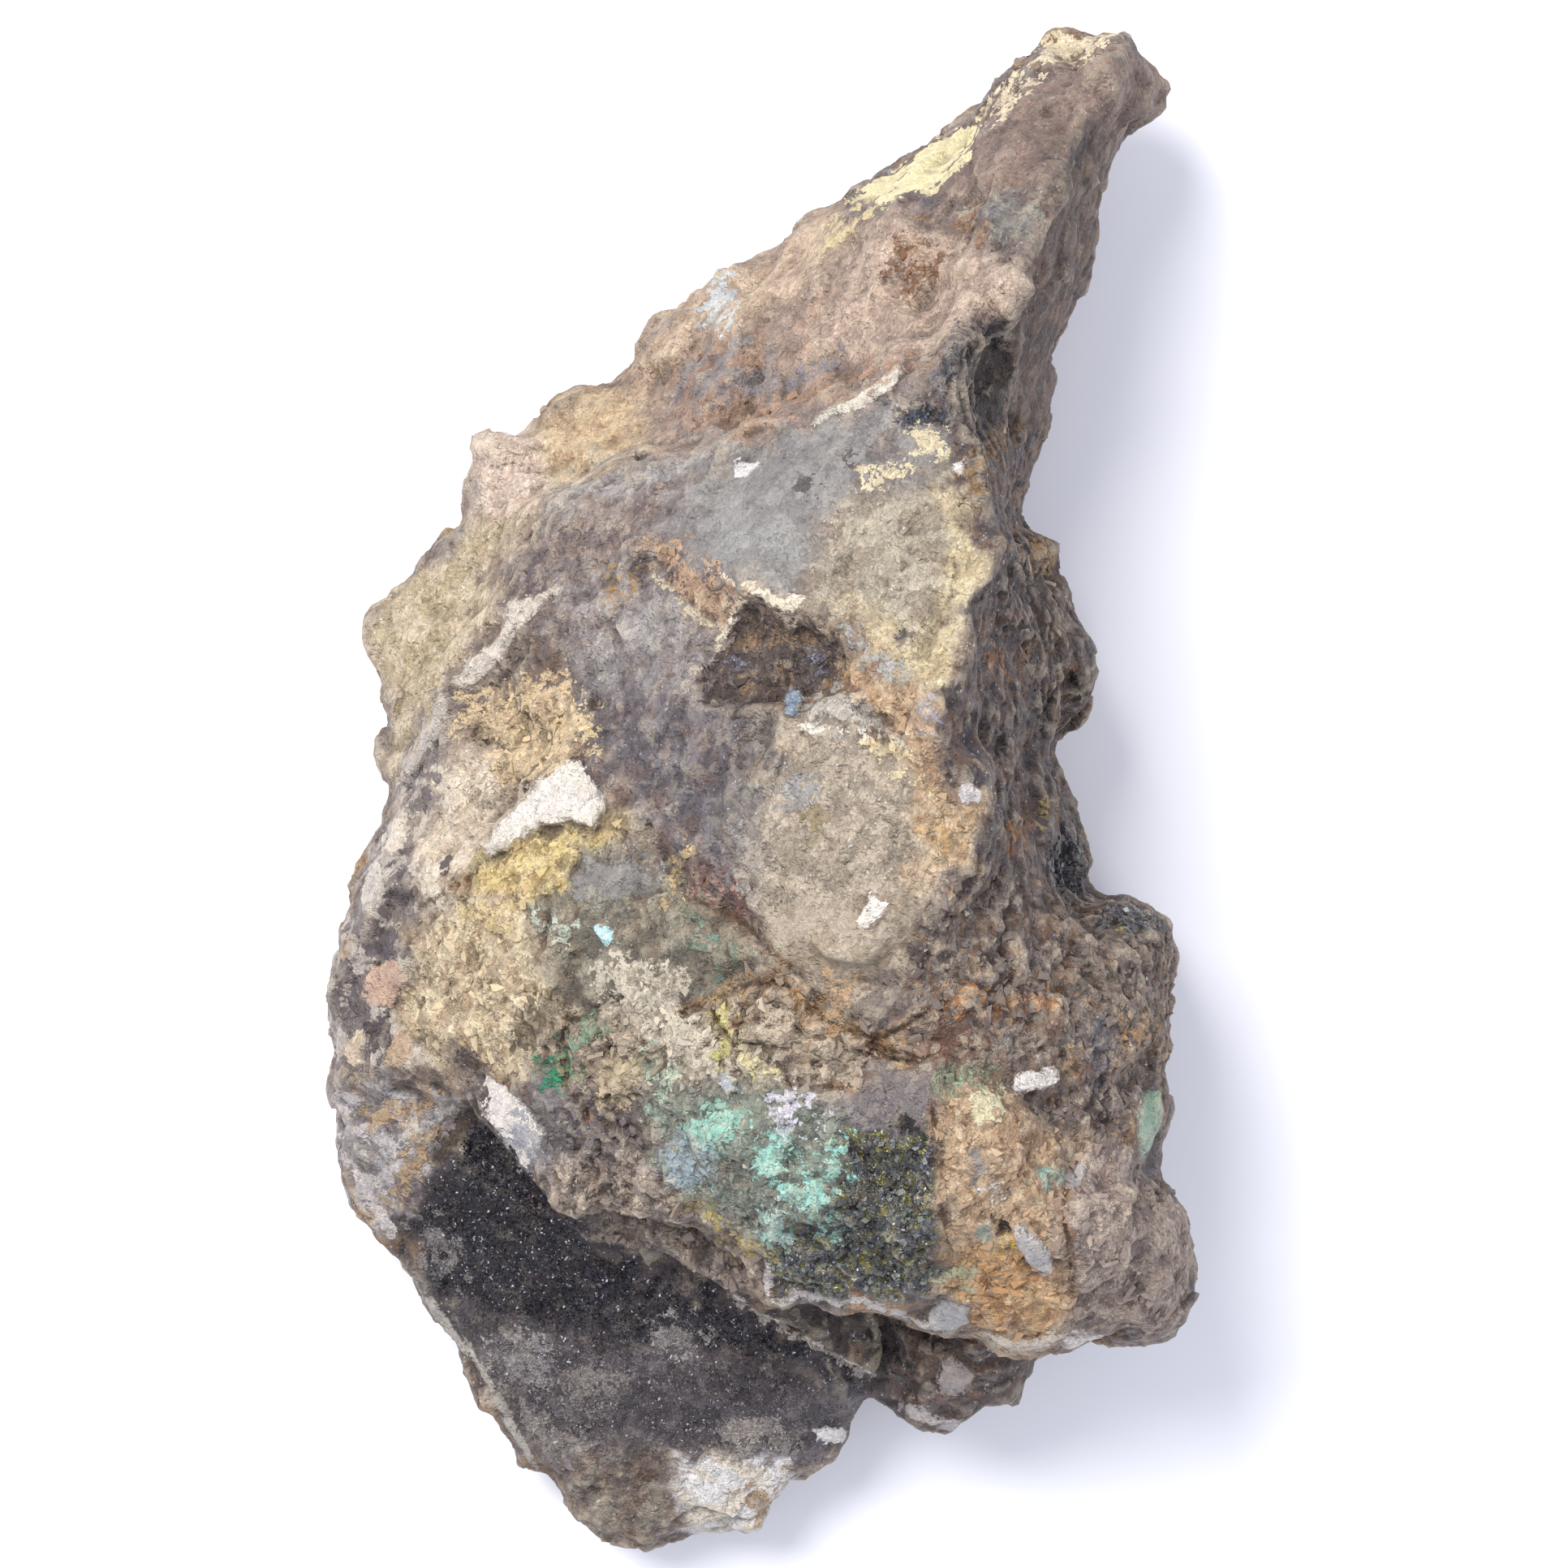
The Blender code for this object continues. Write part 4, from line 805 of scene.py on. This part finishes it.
for (_, kind, _, rise, _, _), reach in zip(DETAILS, lay_details(points, up)):
    if kind in ("quartz", "paint"):
        height *= 1 - 0.7 * ramp(reach, -0.1, 0.3)
    if rise > 0:
        height += rise * ramp(reach, -0.05, 0.45)
    elif rise < 0:
        height += rise * ramp(reach, -0.15, 0.7)
side, depth = lay_cracks(points, up)
height -= CRACK_SHARE * depth * np.exp(-((side / CRACK_HALF_WIDTH) ** 2))

points += normals * (height * calm)[:, None]
points = np.clip(points, box_low, box_high)
put_points(skin.data, points)
print("relief from", round(float(height.min()), 2), "to", round(float(height.max()), 2), "mm")

# %% [markdown]
# ## Thinning the net
# A piece may have about 200,000 triangles. Collapsing the least needed edges keeps the relief and brings
# the count down to about 192,000 triangles. Faces that look down or sideways, which the eye sees less,
# are thinned more.

# %% Thinning
MOST_TRIANGLES = 192000
SHARPEST_FOLD = 38
THINNING_STEPS = 5

triangles = sum(len(face.vertices) - 2 for face in skin.data.polygons)
_, _, normals = arrays_of(skin.data)
hidden = skin.vertex_groups.new(name="hidden")
turned_away = np.clip(np.round((0.35 - normals[:, 2]) * 4), 1, THINNING_STEPS)
for level in range(1, THINNING_STEPS + 1):
    step = np.flatnonzero(turned_away == level)
    hidden.add(step.tolist(), level / THINNING_STEPS, "REPLACE")
thin = skin.modifiers.new("thin", "DECIMATE")
thin.ratio = min(1.0, MOST_TRIANGLES / triangles)
thin.vertex_group = "hidden"
thin.vertex_group_factor = 1.2
skin.data = with_modifiers(skin, "rock_skin")
skin.data.polygons.foreach_set("use_smooth", np.ones(len(skin.data.polygons), bool))
skin.data.set_sharp_from_angle(angle=math.radians(SHARPEST_FOLD))
skin.vertex_groups.clear()
kept = sum(len(face.vertices) - 2 for face in skin.data.polygons)
print("triangles:", triangles, "->", kept)

# %% [markdown]
# ## Painting the points
# The ground colour, the mottle colour, the kind shares, how deep a point sits, and the details' reaches
# are stored on the mesh, and the shader reads them. Details go into a few layers. Two details that touch
# share one only where the layers run out, so nearly all keep their own colour right up to their edge.
# Three broad patterns, of islands, flakes and holes, are stored too, because noise made here costs the
# render no time.

# %% Painting
LAYERS = 5
REACH_SPAN = 1.5
TOUCHING = -0.4
ISLAND_SIZE = 2.4
FLAKE_SIZE = 1.5
HOLE_SIZE = 1.9
SUNK_SPAN = 0.6
CRACK_REACH = 1.2
SMOOTHING_ROUNDS = 4


def muted(colour):
    """A colour with a little of its own cool grey in it, as dust gives it."""
    c = np.asarray(colour, float)
    grey = c.mean(-1, keepdims=True) * np.array((0.99, 0.99, 1.01))
    return c + 0.18 * (grey - c)


def linear(colour):
    """A screen colour as the light that it stands for, by the screen's own standard curve."""
    c = np.clip(np.asarray(colour, float), 0, 1)
    return np.where(c < 0.04045, c / 12.92, ((c + 0.055) / 1.055) ** 2.4)


def store_colour(mesh, name, rgb, alpha):
    layer = mesh.color_attributes.new(name, "FLOAT_COLOR", "POINT")
    values = np.concatenate([rgb, alpha[:, None]], 1).astype(np.float32)
    layer.data.foreach_set("color", values.ravel())


def store_value(mesh, name, values):
    layer = mesh.attributes.new(name, "FLOAT", "POINT")
    layer.data.foreach_set("value", values.astype(np.float32))


points, edges, normals = arrays_of(skin.data)
points = np.clip(points, box_low, box_high)
put_points(skin.data, points)
up = ramp(normals[:, 2], -0.05, 0.25)
main, second, shares = lay_ground(points, up)
reaches = lay_details(points, up)

layer_of = []
for index, reach in enumerate(reaches):
    wanted = 0
    for earlier in range(index):
        if ((reach > TOUCHING) & (reaches[earlier] > TOUCHING)).any():
            wanted = max(wanted, layer_of[earlier] + 1)
    layer_of.append(min(wanted, LAYERS - 1))
print("details per layer:", np.bincount(layer_of))

for layer in range(LAYERS):
    best = np.full(len(points), -FAR)
    colour = np.zeros((len(points), 3))
    for index, reach in enumerate(reaches):
        if layer_of[index] != layer:
            continue
        closer = reach > best
        best = np.where(closer, reach, best)
        colour[closer] = linear(muted(DETAILS[index][2]))
    store_colour(skin.data, f"detail_{layer}", colour, np.clip(0.5 + best / (2 * REACH_SPAN), 0, 1))

settled = 0.6 * main + 0.4 * second
for index, reach in enumerate(reaches):
    cover = ramp(reach, -0.1, 0.2)[:, None]
    settled += cover * (np.array(DETAILS[index][2]) - settled)
    shares += cover * (np.array(KINDS[DETAILS[index][1]]) - shares)

smooth_points = points.copy()
for _ in range(SMOOTHING_ROUNDS):
    smooth_points += averaged(smooth_points, edges) - smooth_points
# The signed depth of each point under its smoothed neighbours; the shader paints shade into the hollows and
# highlight onto the ridges from it.
sunk = ((points - smooth_points) * normals).sum(1)
side, depth = lay_cracks(points, up)


def evened(values):
    """The same pattern spread evenly from 0 to 1, so a threshold says what share it covers."""
    order = np.empty(len(values))
    order[np.argsort(values)] = np.arange(len(values)) / len(values)
    return order


islands = evened(rough_noise(points, ISLAND_SIZE, 301, 3, 0.6))
flakes = evened(rough_noise(points, FLAKE_SIZE, 311, 2, 0.6))
holes = evened(rough_noise(points, HOLE_SIZE, 321, 3, 0.6))
store_colour(skin.data, "broad", np.stack([islands, flakes, holes], 1), shares[:, 5] / 2)
store_colour(skin.data, "ground", linear(muted(main)), shares[:, 0])
store_colour(skin.data, "mottle", linear(muted(second)), shares[:, 1])
store_colour(skin.data, "kinds", shares[:, 2:5], np.clip(0.5 + sunk / SUNK_SPAN, 0, 1))
store_value(skin.data, "crack_side", side)
store_value(skin.data, "crack_depth", np.where(np.abs(side) < CRACK_REACH, depth, 0))
print("painted", len(points), "points")

# %% [markdown]
# ## Shader sums that read like sums
# A node tree is hard to read as a list of links. `Wire` wraps a socket so that shader maths can be
# written with plus, minus and times. Colours are mixed with `mix`, and any other node comes from `node`.
# SLANT turns the broken cubes, in radians, so that their grid doesn't line up with the rock.

# %% Shader helper


class Wire:
    """An output socket that takes part in sums."""

    def __init__(self, tree, socket):
        self.tree = tree
        self.socket = socket

    def _math(self, operation, *values):
        made = self.tree.nodes.new("ShaderNodeMath")
        made.operation = operation
        for slot, value in zip(made.inputs, values):
            plug(self.tree, slot, value)
        return Wire(self.tree, made.outputs[0])

    def __add__(self, other):
        return self._math("ADD", self, other)

    def __radd__(self, other):
        return self._math("ADD", other, self)

    def __sub__(self, other):
        return self._math("SUBTRACT", self, other)

    def __rsub__(self, other):
        return self._math("SUBTRACT", other, self)

    def __mul__(self, other):
        return self._math("MULTIPLY", self, other)

    def __rmul__(self, other):
        return self._math("MULTIPLY", other, self)

    def __gt__(self, other):
        return self._math("GREATER_THAN", self, other)

    def __abs__(self):
        return self._math("ABSOLUTE", self)

    def step(self, start, end):
        """0 at start, 1 at end, easing between. The two may be in either order."""
        made = self.tree.nodes.new("ShaderNodeMapRange")
        made.interpolation_type = "SMOOTHSTEP"
        plug(self.tree, made.inputs["Value"], self)
        low, high = (start, end) if start < end else (end, start)
        made.inputs["From Min"].default_value = low
        made.inputs["From Max"].default_value = high
        made.inputs["To Min"].default_value = 0.0 if start < end else 1.0
        made.inputs["To Max"].default_value = 1.0 if start < end else 0.0
        return Wire(self.tree, made.outputs["Result"])


def plug(tree, slot, value):
    if isinstance(value, Wire):
        tree.links.new(value.socket, slot)
    elif isinstance(value, (tuple, list)) and len(value) == 3 and len(slot.default_value) == 4:
        slot.default_value = (*value, 1.0)
    else:
        slot.default_value = value


SLANT = (0.62, 0.48, 0.35)


class Paint:
    """A new material and the few calls that its shader is built with."""

    def __init__(self, name):
        self.material = bpy.data.materials.new(name)
        self.material.use_nodes = True
        self.tree = self.material.node_tree
        self.surface = self.tree.nodes["Principled BSDF"]
        place = self.node("ShaderNodeTexCoord")
        self.place = self.scaled(Wire(self.tree, place.outputs["Object"]), 1 / MM)

    def node(self, kind, settings=(), **values):
        made = self.tree.nodes.new(kind)
        for name, value in dict(settings).items():
            setattr(made, name, value)
        for name, value in values.items():
            plug(self.tree, made.inputs[name.replace("_", " ")], value)
        return made

    def scaled(self, vector, factor):
        """A place or a colour times a number."""
        made = self.node("ShaderNodeVectorMath", {"operation": "SCALE"}, Vector=vector, Scale=factor)
        return Wire(self.tree, made.outputs["Vector"])

    def noise(self, size, detail):
        made = self.node("ShaderNodeTexNoise", Scale=1 / size, Detail=detail, Roughness=0.6)
        plug(self.tree, made.inputs["Vector"], self.place)
        return Wire(self.tree, made.outputs[0])

    def joined(self, operation, first, second, output="Vector"):
        """Two vectors added, subtracted or multiplied."""
        made = self.node("ShaderNodeVectorMath", {"operation": operation})
        plug(self.tree, made.inputs[0], first)
        plug(self.tree, made.inputs[1], second)
        return Wire(self.tree, made.outputs[output])

    def cells(self, size, bend):
        """Broken cubes, cut at a slant: each one's flat tilted face in mm, and three chances of its own."""
        turned = self.node("ShaderNodeMapping", Vector=self.place, Scale=(1 / size,) * 3, Rotation=SLANT)
        moved = self.joined("ADD", Wire(self.tree, turned.outputs["Vector"]), bend)
        whole = self.joined("FLOOR", moved, (0, 0, 0))
        made = self.node("ShaderNodeTexWhiteNoise", {"noise_dimensions": "3D"}, Vector=whole)
        chances = Wire(self.tree, made.outputs["Color"])
        away = self.joined("SUBTRACT", self.joined("SUBTRACT", moved, whole), (0.5, 0.5, 0.5))
        lean = self.joined("SUBTRACT", chances, (0.5, 0.5, 0.5))
        return self.joined("DOT_PRODUCT", away, lean, "Value") * size, self.split(chances)

    def mix(self, share, first, second):
        made = self.node("ShaderNodeMix", {"data_type": "RGBA"})
        plug(self.tree, made.inputs[0], share)
        plug(self.tree, made.inputs[6], first)
        plug(self.tree, made.inputs[7], second)
        return Wire(self.tree, made.outputs[2])

    def painted(self, name):
        """A stored colour and its fourth value."""
        made = self.node("ShaderNodeAttribute", {"attribute_name": name})
        return Wire(self.tree, made.outputs["Color"]), Wire(self.tree, made.outputs["Alpha"])

    def stored(self, name):
        made = self.node("ShaderNodeAttribute", {"attribute_name": name})
        return Wire(self.tree, made.outputs["Fac"])

    def split(self, colour):
        made = self.node("ShaderNodeSeparateColor", Color=colour)
        return [Wire(self.tree, made.outputs[k]) for k in range(3)]

    def bump(self, height, distance):
        made = self.node("ShaderNodeBump", Height=height, Distance=distance * MM, Strength=1.0)
        return Wire(self.tree, made.outputs["Normal"])

    def wear(self, **values):
        for name, value in values.items():
            plug(self.tree, self.surface.inputs[name.replace("_", " ")], value)


# %% [markdown]
# ## The vein rock's finish
# Over the painted ground come mottling, pale flakes with a dark rim, rust, brass and steel flecks,
# grains that each have their own tone, and white specks of painted highlight that stand for glints on the
# druse and the ore. The details sit on top with edges broken up by fine noise, then the cracks, then
# painted shade in the hollows and painted highlight on the ridges. Gloss follows the kinds: quartz shines,
# ochre doesn't, ore has a metallic gleam. Sizes are in mm. `step` numbers are thresholds on patterns that
# run from 0 to 1, and the plain factors after them say how strongly an effect shows.

# %% Vein rock
MIDDLE_SIZE = 0.85
GRIT_SIZE = 0.24
SHARD_SIZE = 0.95
GRAIN_SIZE = 0.34
SAND_SIZE = 0.15
PALE_START = 0.745
BUMP_HEIGHT = 0.42

paint = Paint("vein_rock")
ground, glassy = paint.painted("ground")
mottle, earthy = paint.painted("mottle")
kinds, sunk = paint.painted("kinds")
metallic, drusy, pitted = paint.split(kinds)
broad, half_rugged = paint.painted("broad")
island, flake, hole = paint.split(broad)
rugged = half_rugged * 2.0

middle = paint.noise(MIDDLE_SIZE, 2.0)
grit = paint.noise(GRIT_SIZE, 1.0)
ripple = (middle - 0.5) * 2.6 + (grit - 0.5) * 0.7
shard_face, (shard, shard_two, shard_three) = paint.cells(SHARD_SIZE, ripple)
grain_face, (grain, grain_two, grain_three) = paint.cells(GRAIN_SIZE, ripple * 1.6)
_, (sand, _, _) = paint.cells(SAND_SIZE, ripple * 2.0)
ore_share = metallic.step(0.30, 0.80)


def screen(red, green, blue):
    """A screen colour as the shader wants it."""
    return linear((red, green, blue)).tolist()


# The dark brown also paints shade into the hollows, and the pale warm white also paints highlight onto the
# ridges.
cream_and_highlight = screen(0.84, 0.78, 0.68)
umber_and_shade = screen(0.20, 0.15, 0.13)
rust_brown = screen(0.55, 0.39, 0.26)
brass_yellow = screen(0.60, 0.57, 0.27)
steel_blue = screen(0.58, 0.62, 0.70)
speck_black = screen(0.16, 0.12, 0.11)
# Painted highlight: the white of the painted glints.
painted_glint_white = screen(0.92, 0.92, 0.93)
seep_brown = screen(0.58, 0.42, 0.26)
crack_brown = screen(0.26, 0.17, 0.11)

jag = (middle - 0.5) * 1.2 + (shard - 0.5) * 0.30
other_jag = (0.5 - middle) * 0.9 + (shard_two - 0.5) * 0.34
mottled = (island + jag).step(0.44, 0.56)
colour = paint.mix(mottled * 0.85, ground, mottle)
pale_reach = flake + other_jag
pale = pale_reach.step(PALE_START, 0.785) * (0.16 + 0.30 * earthy + 0.22 * glassy) * rugged
colour = paint.mix(pale, colour, paint.mix(0.55, colour, cream_and_highlight))
murk = (flake + jag).step(0.24, 0.19) * (0.20 + 0.45 * pitted + 0.06 * earthy) * rugged
colour = paint.mix(murk, colour, umber_and_shade)
rust = (hole + other_jag).step(0.66, 0.74) * (0.65 * pitted + 0.10 * earthy) * (0.3 + middle)
colour = paint.mix(rust, colour, rust_brown)
brass = (grain_two * 0.5 + shard * 0.5 + middle * 0.8).step(0.98, 1.04) * ore_share * 0.55
colour = paint.mix(brass, colour, brass_yellow)
steel = (grain_three * 0.45 + shard_two * 0.55).step(0.70, 0.73) * ore_share * 0.55
colour = paint.mix(steel, colour, steel_blue)
rim = abs(pale_reach - PALE_START).step(0.018, 0.004)
colour = paint.mix(rim * 0.26 * rugged * (1.0 - 0.7 * glassy), colour, umber_and_shade)

shade = 0.60 + (0.34 - 0.18 * glassy) * grit + 0.09 * glassy + 0.28 * middle
shade = shade * (1.0 + (grain - 0.5) * (0.22 + 0.26 * drusy) + (sand - 0.5) * (0.14 + 0.2 * drusy))
shade = shade * (1.0 + (shard_three - 0.5) * (0.10 + 0.16 * rugged))
colour = paint.scaled(colour, shade)
speck = grain_two.step(0.925, 0.935) * (0.28 + 0.4 * pitted) * (1.0 - glassy)
colour = paint.mix(speck, colour, speck_black)
# Painted highlight: sparse white specks on the druse and the ore that stand for glints of light.
painted_glint = sand.step(0.955, 0.97) * (middle > 0.54) * (0.08 + 0.40 * drusy + 0.7 * metallic)
colour = paint.mix(painted_glint, colour, painted_glint_white)

bare = (hole + jag).step(0.70, 0.74)
ragged = (middle - 0.5) * 1.5 + (shard_two - 0.5) * 0.75 + (grit - 0.5) * 0.4
for layer in range(LAYERS):
    detail, reach = paint.painted(f"detail_{layer}")
    edge = (reach - 0.5) * (2 * REACH_SPAN) + ragged
    cover = edge.step(-0.03, 0.05) * (0.95 - 0.30 * murk - earthy * 0.9 * bare)
    toned = paint.scaled(detail, shade * (0.88 + 0.22 * shard) + 0.04)
    toned = paint.mix(pale * 0.5, toned, cream_and_highlight)
    colour = paint.mix(cover, colour, toned)
    colour = paint.mix(abs(edge).step(0.07, 0.02) * 0.24, colour, umber_and_shade)

crack_side = abs(paint.stored("crack_side"))
cracked = paint.stored("crack_depth") > 0.05
seep = (crack_side + ragged * 0.9).step(0.70, 0.10) * cracked * (island + jag).step(0.30, 0.60) * 0.42
colour = paint.mix(seep, colour, seep_brown)
crack = (crack_side + ragged * 0.6).step(0.12, 0.02) * cracked * 0.75
colour = paint.mix(crack, colour, crack_brown)
# Painted shade: points that sit below their neighbours are darkened, as shade falls in hollows.
painted_hollow_shade = sunk.step(0.50, 0.12)
colour = paint.mix(painted_hollow_shade * 0.50, colour, umber_and_shade)
# Painted highlight: points that stand above their neighbours are lightened, as light catches ridges.
painted_ridge_highlight = sunk.step(0.54, 0.90)
colour = paint.mix(painted_ridge_highlight * 0.22, colour, cream_and_highlight)

gloss = 0.80 - 0.44 * glassy + 0.12 * earthy - 0.30 * metallic + (grain - 0.5) * 0.25 + (grit - 0.5) * 0.2
relief = (0.40 * grit + 0.45 * middle) * (1.0 - 0.6 * glassy)
relief = relief + shard_face * (0.9 + 1.0 * glassy + 0.8 * metallic) * rugged
relief = relief + grain_face * (1.2 + 1.2 * drusy + 1.4 * metallic)
paint.wear(
    Base_Color=colour,
    Roughness=gloss,
    Metallic=metallic * 0.55 * (grain > 0.35),
    Normal=paint.bump(relief, BUMP_HEIGHT),
)
paint.surface.inputs["Specular IOR Level"].default_value = 0.45
skin.data.materials.append(paint.material)
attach(skin, "root")
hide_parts("bournonite")
print("vein rock shader:", len(paint.tree.nodes), "nodes")

# %% [markdown]
# ## Crystals and flakes that stand on the skin
# The plate wears a druse, a carpet of quartz tips. The ore breaks in small shining blocks, and the crusts
# and the rough rock flake. A skin can't hold such small sharp shapes, so they are little closed solids of
# their own, many thousands joined in one mesh of each kind, seated on the skin's edges and tinted like
# what they grow on.

# %% Crystals
ROOT_DEPTH = 0.22
CRYSTAL_BUMP = 0.06


def unit(vectors):
    return vectors / np.linalg.norm(vectors, axis=-1, keepdims=True)


def seats_on(wanted, count, luck):
    """Places between two neighbouring points that are both wanted: the index of one, and the place."""
    inside = edges[wanted[edges[:, 0]] & wanted[edges[:, 1]]]
    picked = inside[luck.choice(len(inside), min(count, len(inside)), replace=False)]
    share = luck.uniform(0.3, 0.7, (len(picked), 1))
    return picked[:, 0], points[picked[:, 0]] * (1 - share) + points[picked[:, 1]] * share


def crystals(name, wanted, count, widths, heights, sides, top, uneven, tilt, bright, seed):
    """
    A mesh of small closed solids on the wanted points, with widths and heights in mm.
    `top` is the top's width as a share of the foot's, 0 for a point. `uneven` is the shortest corner as a
    share of the half width, and `tilt` how far they lean. `bright` is the darkest tint and what luck adds.
    """
    luck = np.random.default_rng(seed)
    owner, seat = seats_on(wanted, count, luck)
    number = len(seat)
    axis = unit(normals[owner] + tilt * luck.normal(size=(number, 3)))
    across = unit(np.cross(axis, luck.normal(size=(number, 3))))
    beside = np.cross(axis, across)
    width = widths[0] + (widths[1] - widths[0]) * luck.random((number, 1)) ** 2
    height = (heights[0] + (heights[1] - heights[0]) * luck.random((number, 1)))[:, None] * axis[:, None]
    turn = 2 * math.pi * np.arange(sides) / sides + luck.uniform(-0.2, 0.2, (number, sides))
    out = width / 2 * luck.uniform(uneven, 1.1, (number, sides))
    out = out * (1 + (0.9 - uneven) * np.cos(2 * turn))
    ring = across[:, None] * (np.cos(turn) * out)[..., None]
    ring = ring + beside[:, None] * (np.sin(turn) * out)[..., None]
    foot = seat[:, None] + ring - ROOT_DEPTH * axis[:, None]
    head = seat[:, None] + height + (ring * top if top else 0)
    corners = np.concatenate([foot, head], 1)
    pattern = [tuple(reversed(range(sides)))]
    for k in range(sides):
        after = (k + 1) % sides
        pattern.append((k, after, sides + after, sides + k) if top else (k, after, sides))
    if top:
        pattern.append(tuple(range(sides, 2 * sides)))
    each = corners.shape[1]
    faces = [tuple(start + k for k in face) for start in range(0, number * each, each) for face in pattern]
    mesh = bpy.data.meshes.new(name)
    placed = np.clip(corners.reshape(-1, 3), box_low, box_high) * MM
    mesh.from_pydata(placed.tolist(), [], faces)
    chances = luck.random(number)
    tint = linear(muted(settled[owner])) * (bright[0] + bright[1] * chances[:, None])
    store_colour(mesh, "tint", np.repeat(tint, each, 0), np.repeat(chances, each))
    piece = bpy.data.objects.new(name, mesh)
    bpy.context.scene.collection.objects.link(piece)
    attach(piece, "root")
    print(name, number, "crystals,", len(faces), "faces")
    return piece


def crystal_paint(name, light, share, roughness, metallic):
    """A finish in each crystal's own tint, with fine grit. `light` tints the luckiest share of them."""
    paint = Paint(name)
    tint, chance_of = paint.painted("tint")
    grit = paint.noise(GRIT_SIZE, 2.0)
    middle = paint.noise(MIDDLE_SIZE, 2.0)
    colour = paint.scaled(tint, 0.42 + 0.70 * grit + 0.40 * middle)
    colour = paint.mix(chance_of.step(1.0 - share, 1.0) * 0.5, colour, light)
    relief = paint.bump(grit, CRYSTAL_BUMP)
    paint.wear(Base_Color=colour, Roughness=roughness + (grit - 0.5) * 0.3, Metallic=metallic, Normal=relief)
    return paint.material


glassy, earthy, metallic, drusy, pitted, rugged = shares.T
facing = up > 0.6
druse = crystals(
    "druse_crystals",
    wanted=facing & (drusy > 0.85) & levels_of(points),
    count=6500,
    widths=(0.22, 0.55),
    heights=(0.06, 0.26),
    sides=6,
    top=0,
    uneven=0.75,
    tilt=0.30,
    bright=(0.75, 0.5),
    seed=5,
)
druse_light = screen(0.66, 0.65, 0.68)
druse_paint = crystal_paint("druse_quartz", druse_light, share=0.1, roughness=0.28, metallic=0.0)
druse.data.materials.append(druse_paint)
ore = crystals(
    "ore_crystals",
    wanted=facing & (metallic > 0.72),
    count=1100,
    widths=(0.25, 0.85),
    heights=(0.02, 0.15),
    sides=4,
    top=0.85,
    uneven=0.75,
    tilt=0.34,
    bright=(1.0, 1.0),
    seed=6,
)
ore_light = screen(0.60, 0.63, 0.58)
ore_paint = crystal_paint("ore_metal", ore_light, share=0.16, roughness=0.42, metallic=0.35)
ore.data.materials.append(ore_paint)
flakes = crystals(
    "crust_flakes",
    wanted=facing & (rugged > 0.8) & (glassy < 0.5) & (metallic < 0.4),
    count=2600,
    widths=(0.30, 1.5),
    heights=(0.0, 0.14),
    sides=5,
    top=0.90,
    uneven=0.40,
    tilt=0.26,
    bright=(0.85, 0.22),
    seed=7,
)
flake_paint = crystal_paint("flake_crust", cream_and_highlight, share=0.02, roughness=0.85, metallic=0.0)
flakes.data.materials.append(flake_paint)

# %% [markdown]
# ## Floor and light
# A white table, a large soft lamp from the upper left, a weak blue one from the right and a faintly blue
# sky from all round. The blue light is what turns the shadows at the right lavender. Lengths here are in
# metres.

# %% Floor and light
FLOOR_SIDE = 3.0
FLOOR_COLOUR = (0.93, 0.93, 0.955)
SKY_COLOUR = (0.87, 0.90, 1.0, 1.0)
SKY_STRENGTH = 0.76

floor_mesh = bpy.data.meshes.new("floor")
half = FLOOR_SIDE / 2
floor_corners = [(-half, -half, 0), (half, -half, 0), (half, half, 0), (-half, half, 0)]
floor_mesh.from_pydata(floor_corners, [], [(0, 1, 2, 3)])
floor = bpy.data.objects.new("floor", floor_mesh)
bpy.context.scene.collection.objects.link(floor)
floor_paint = Paint("pale_floor")
floor_paint.wear(Base_Color=linear(FLOOR_COLOUR).tolist(), Roughness=0.8)
floor_mesh.materials.append(floor_paint.material)


def lamp(name, place, size, power, colour):
    """A round soft lamp, `size` metres across, that looks at the middle of the table. Power is in watts."""
    light = bpy.data.lights.new(name, "AREA")
    light.shape = "DISK"
    light.size = size
    light.energy = power
    light.color = colour
    holder = bpy.data.objects.new(name, light)
    holder.location = place
    holder.rotation_euler = (-Vector(place)).to_track_quat("-Z", "Y").to_euler()
    bpy.context.scene.collection.objects.link(holder)


lamp("key", place=(-0.40, 0.42, 0.85), size=0.55, power=12.5, colour=(1.0, 0.985, 0.96))
lamp("fill", place=(0.60, -0.20, 0.70), size=0.90, power=3.2, colour=(0.90, 0.93, 1.0))

sky = bpy.data.worlds.new("sky")
sky.use_nodes = True
background = sky.node_tree.nodes["Background"]
background.inputs["Color"].default_value = SKY_COLOUR
background.inputs["Strength"].default_value = SKY_STRENGTH
bpy.context.scene.world = sky
bpy.context.scene.view_settings.view_transform = "Standard"
bpy.context.scene.view_settings.look = "None"
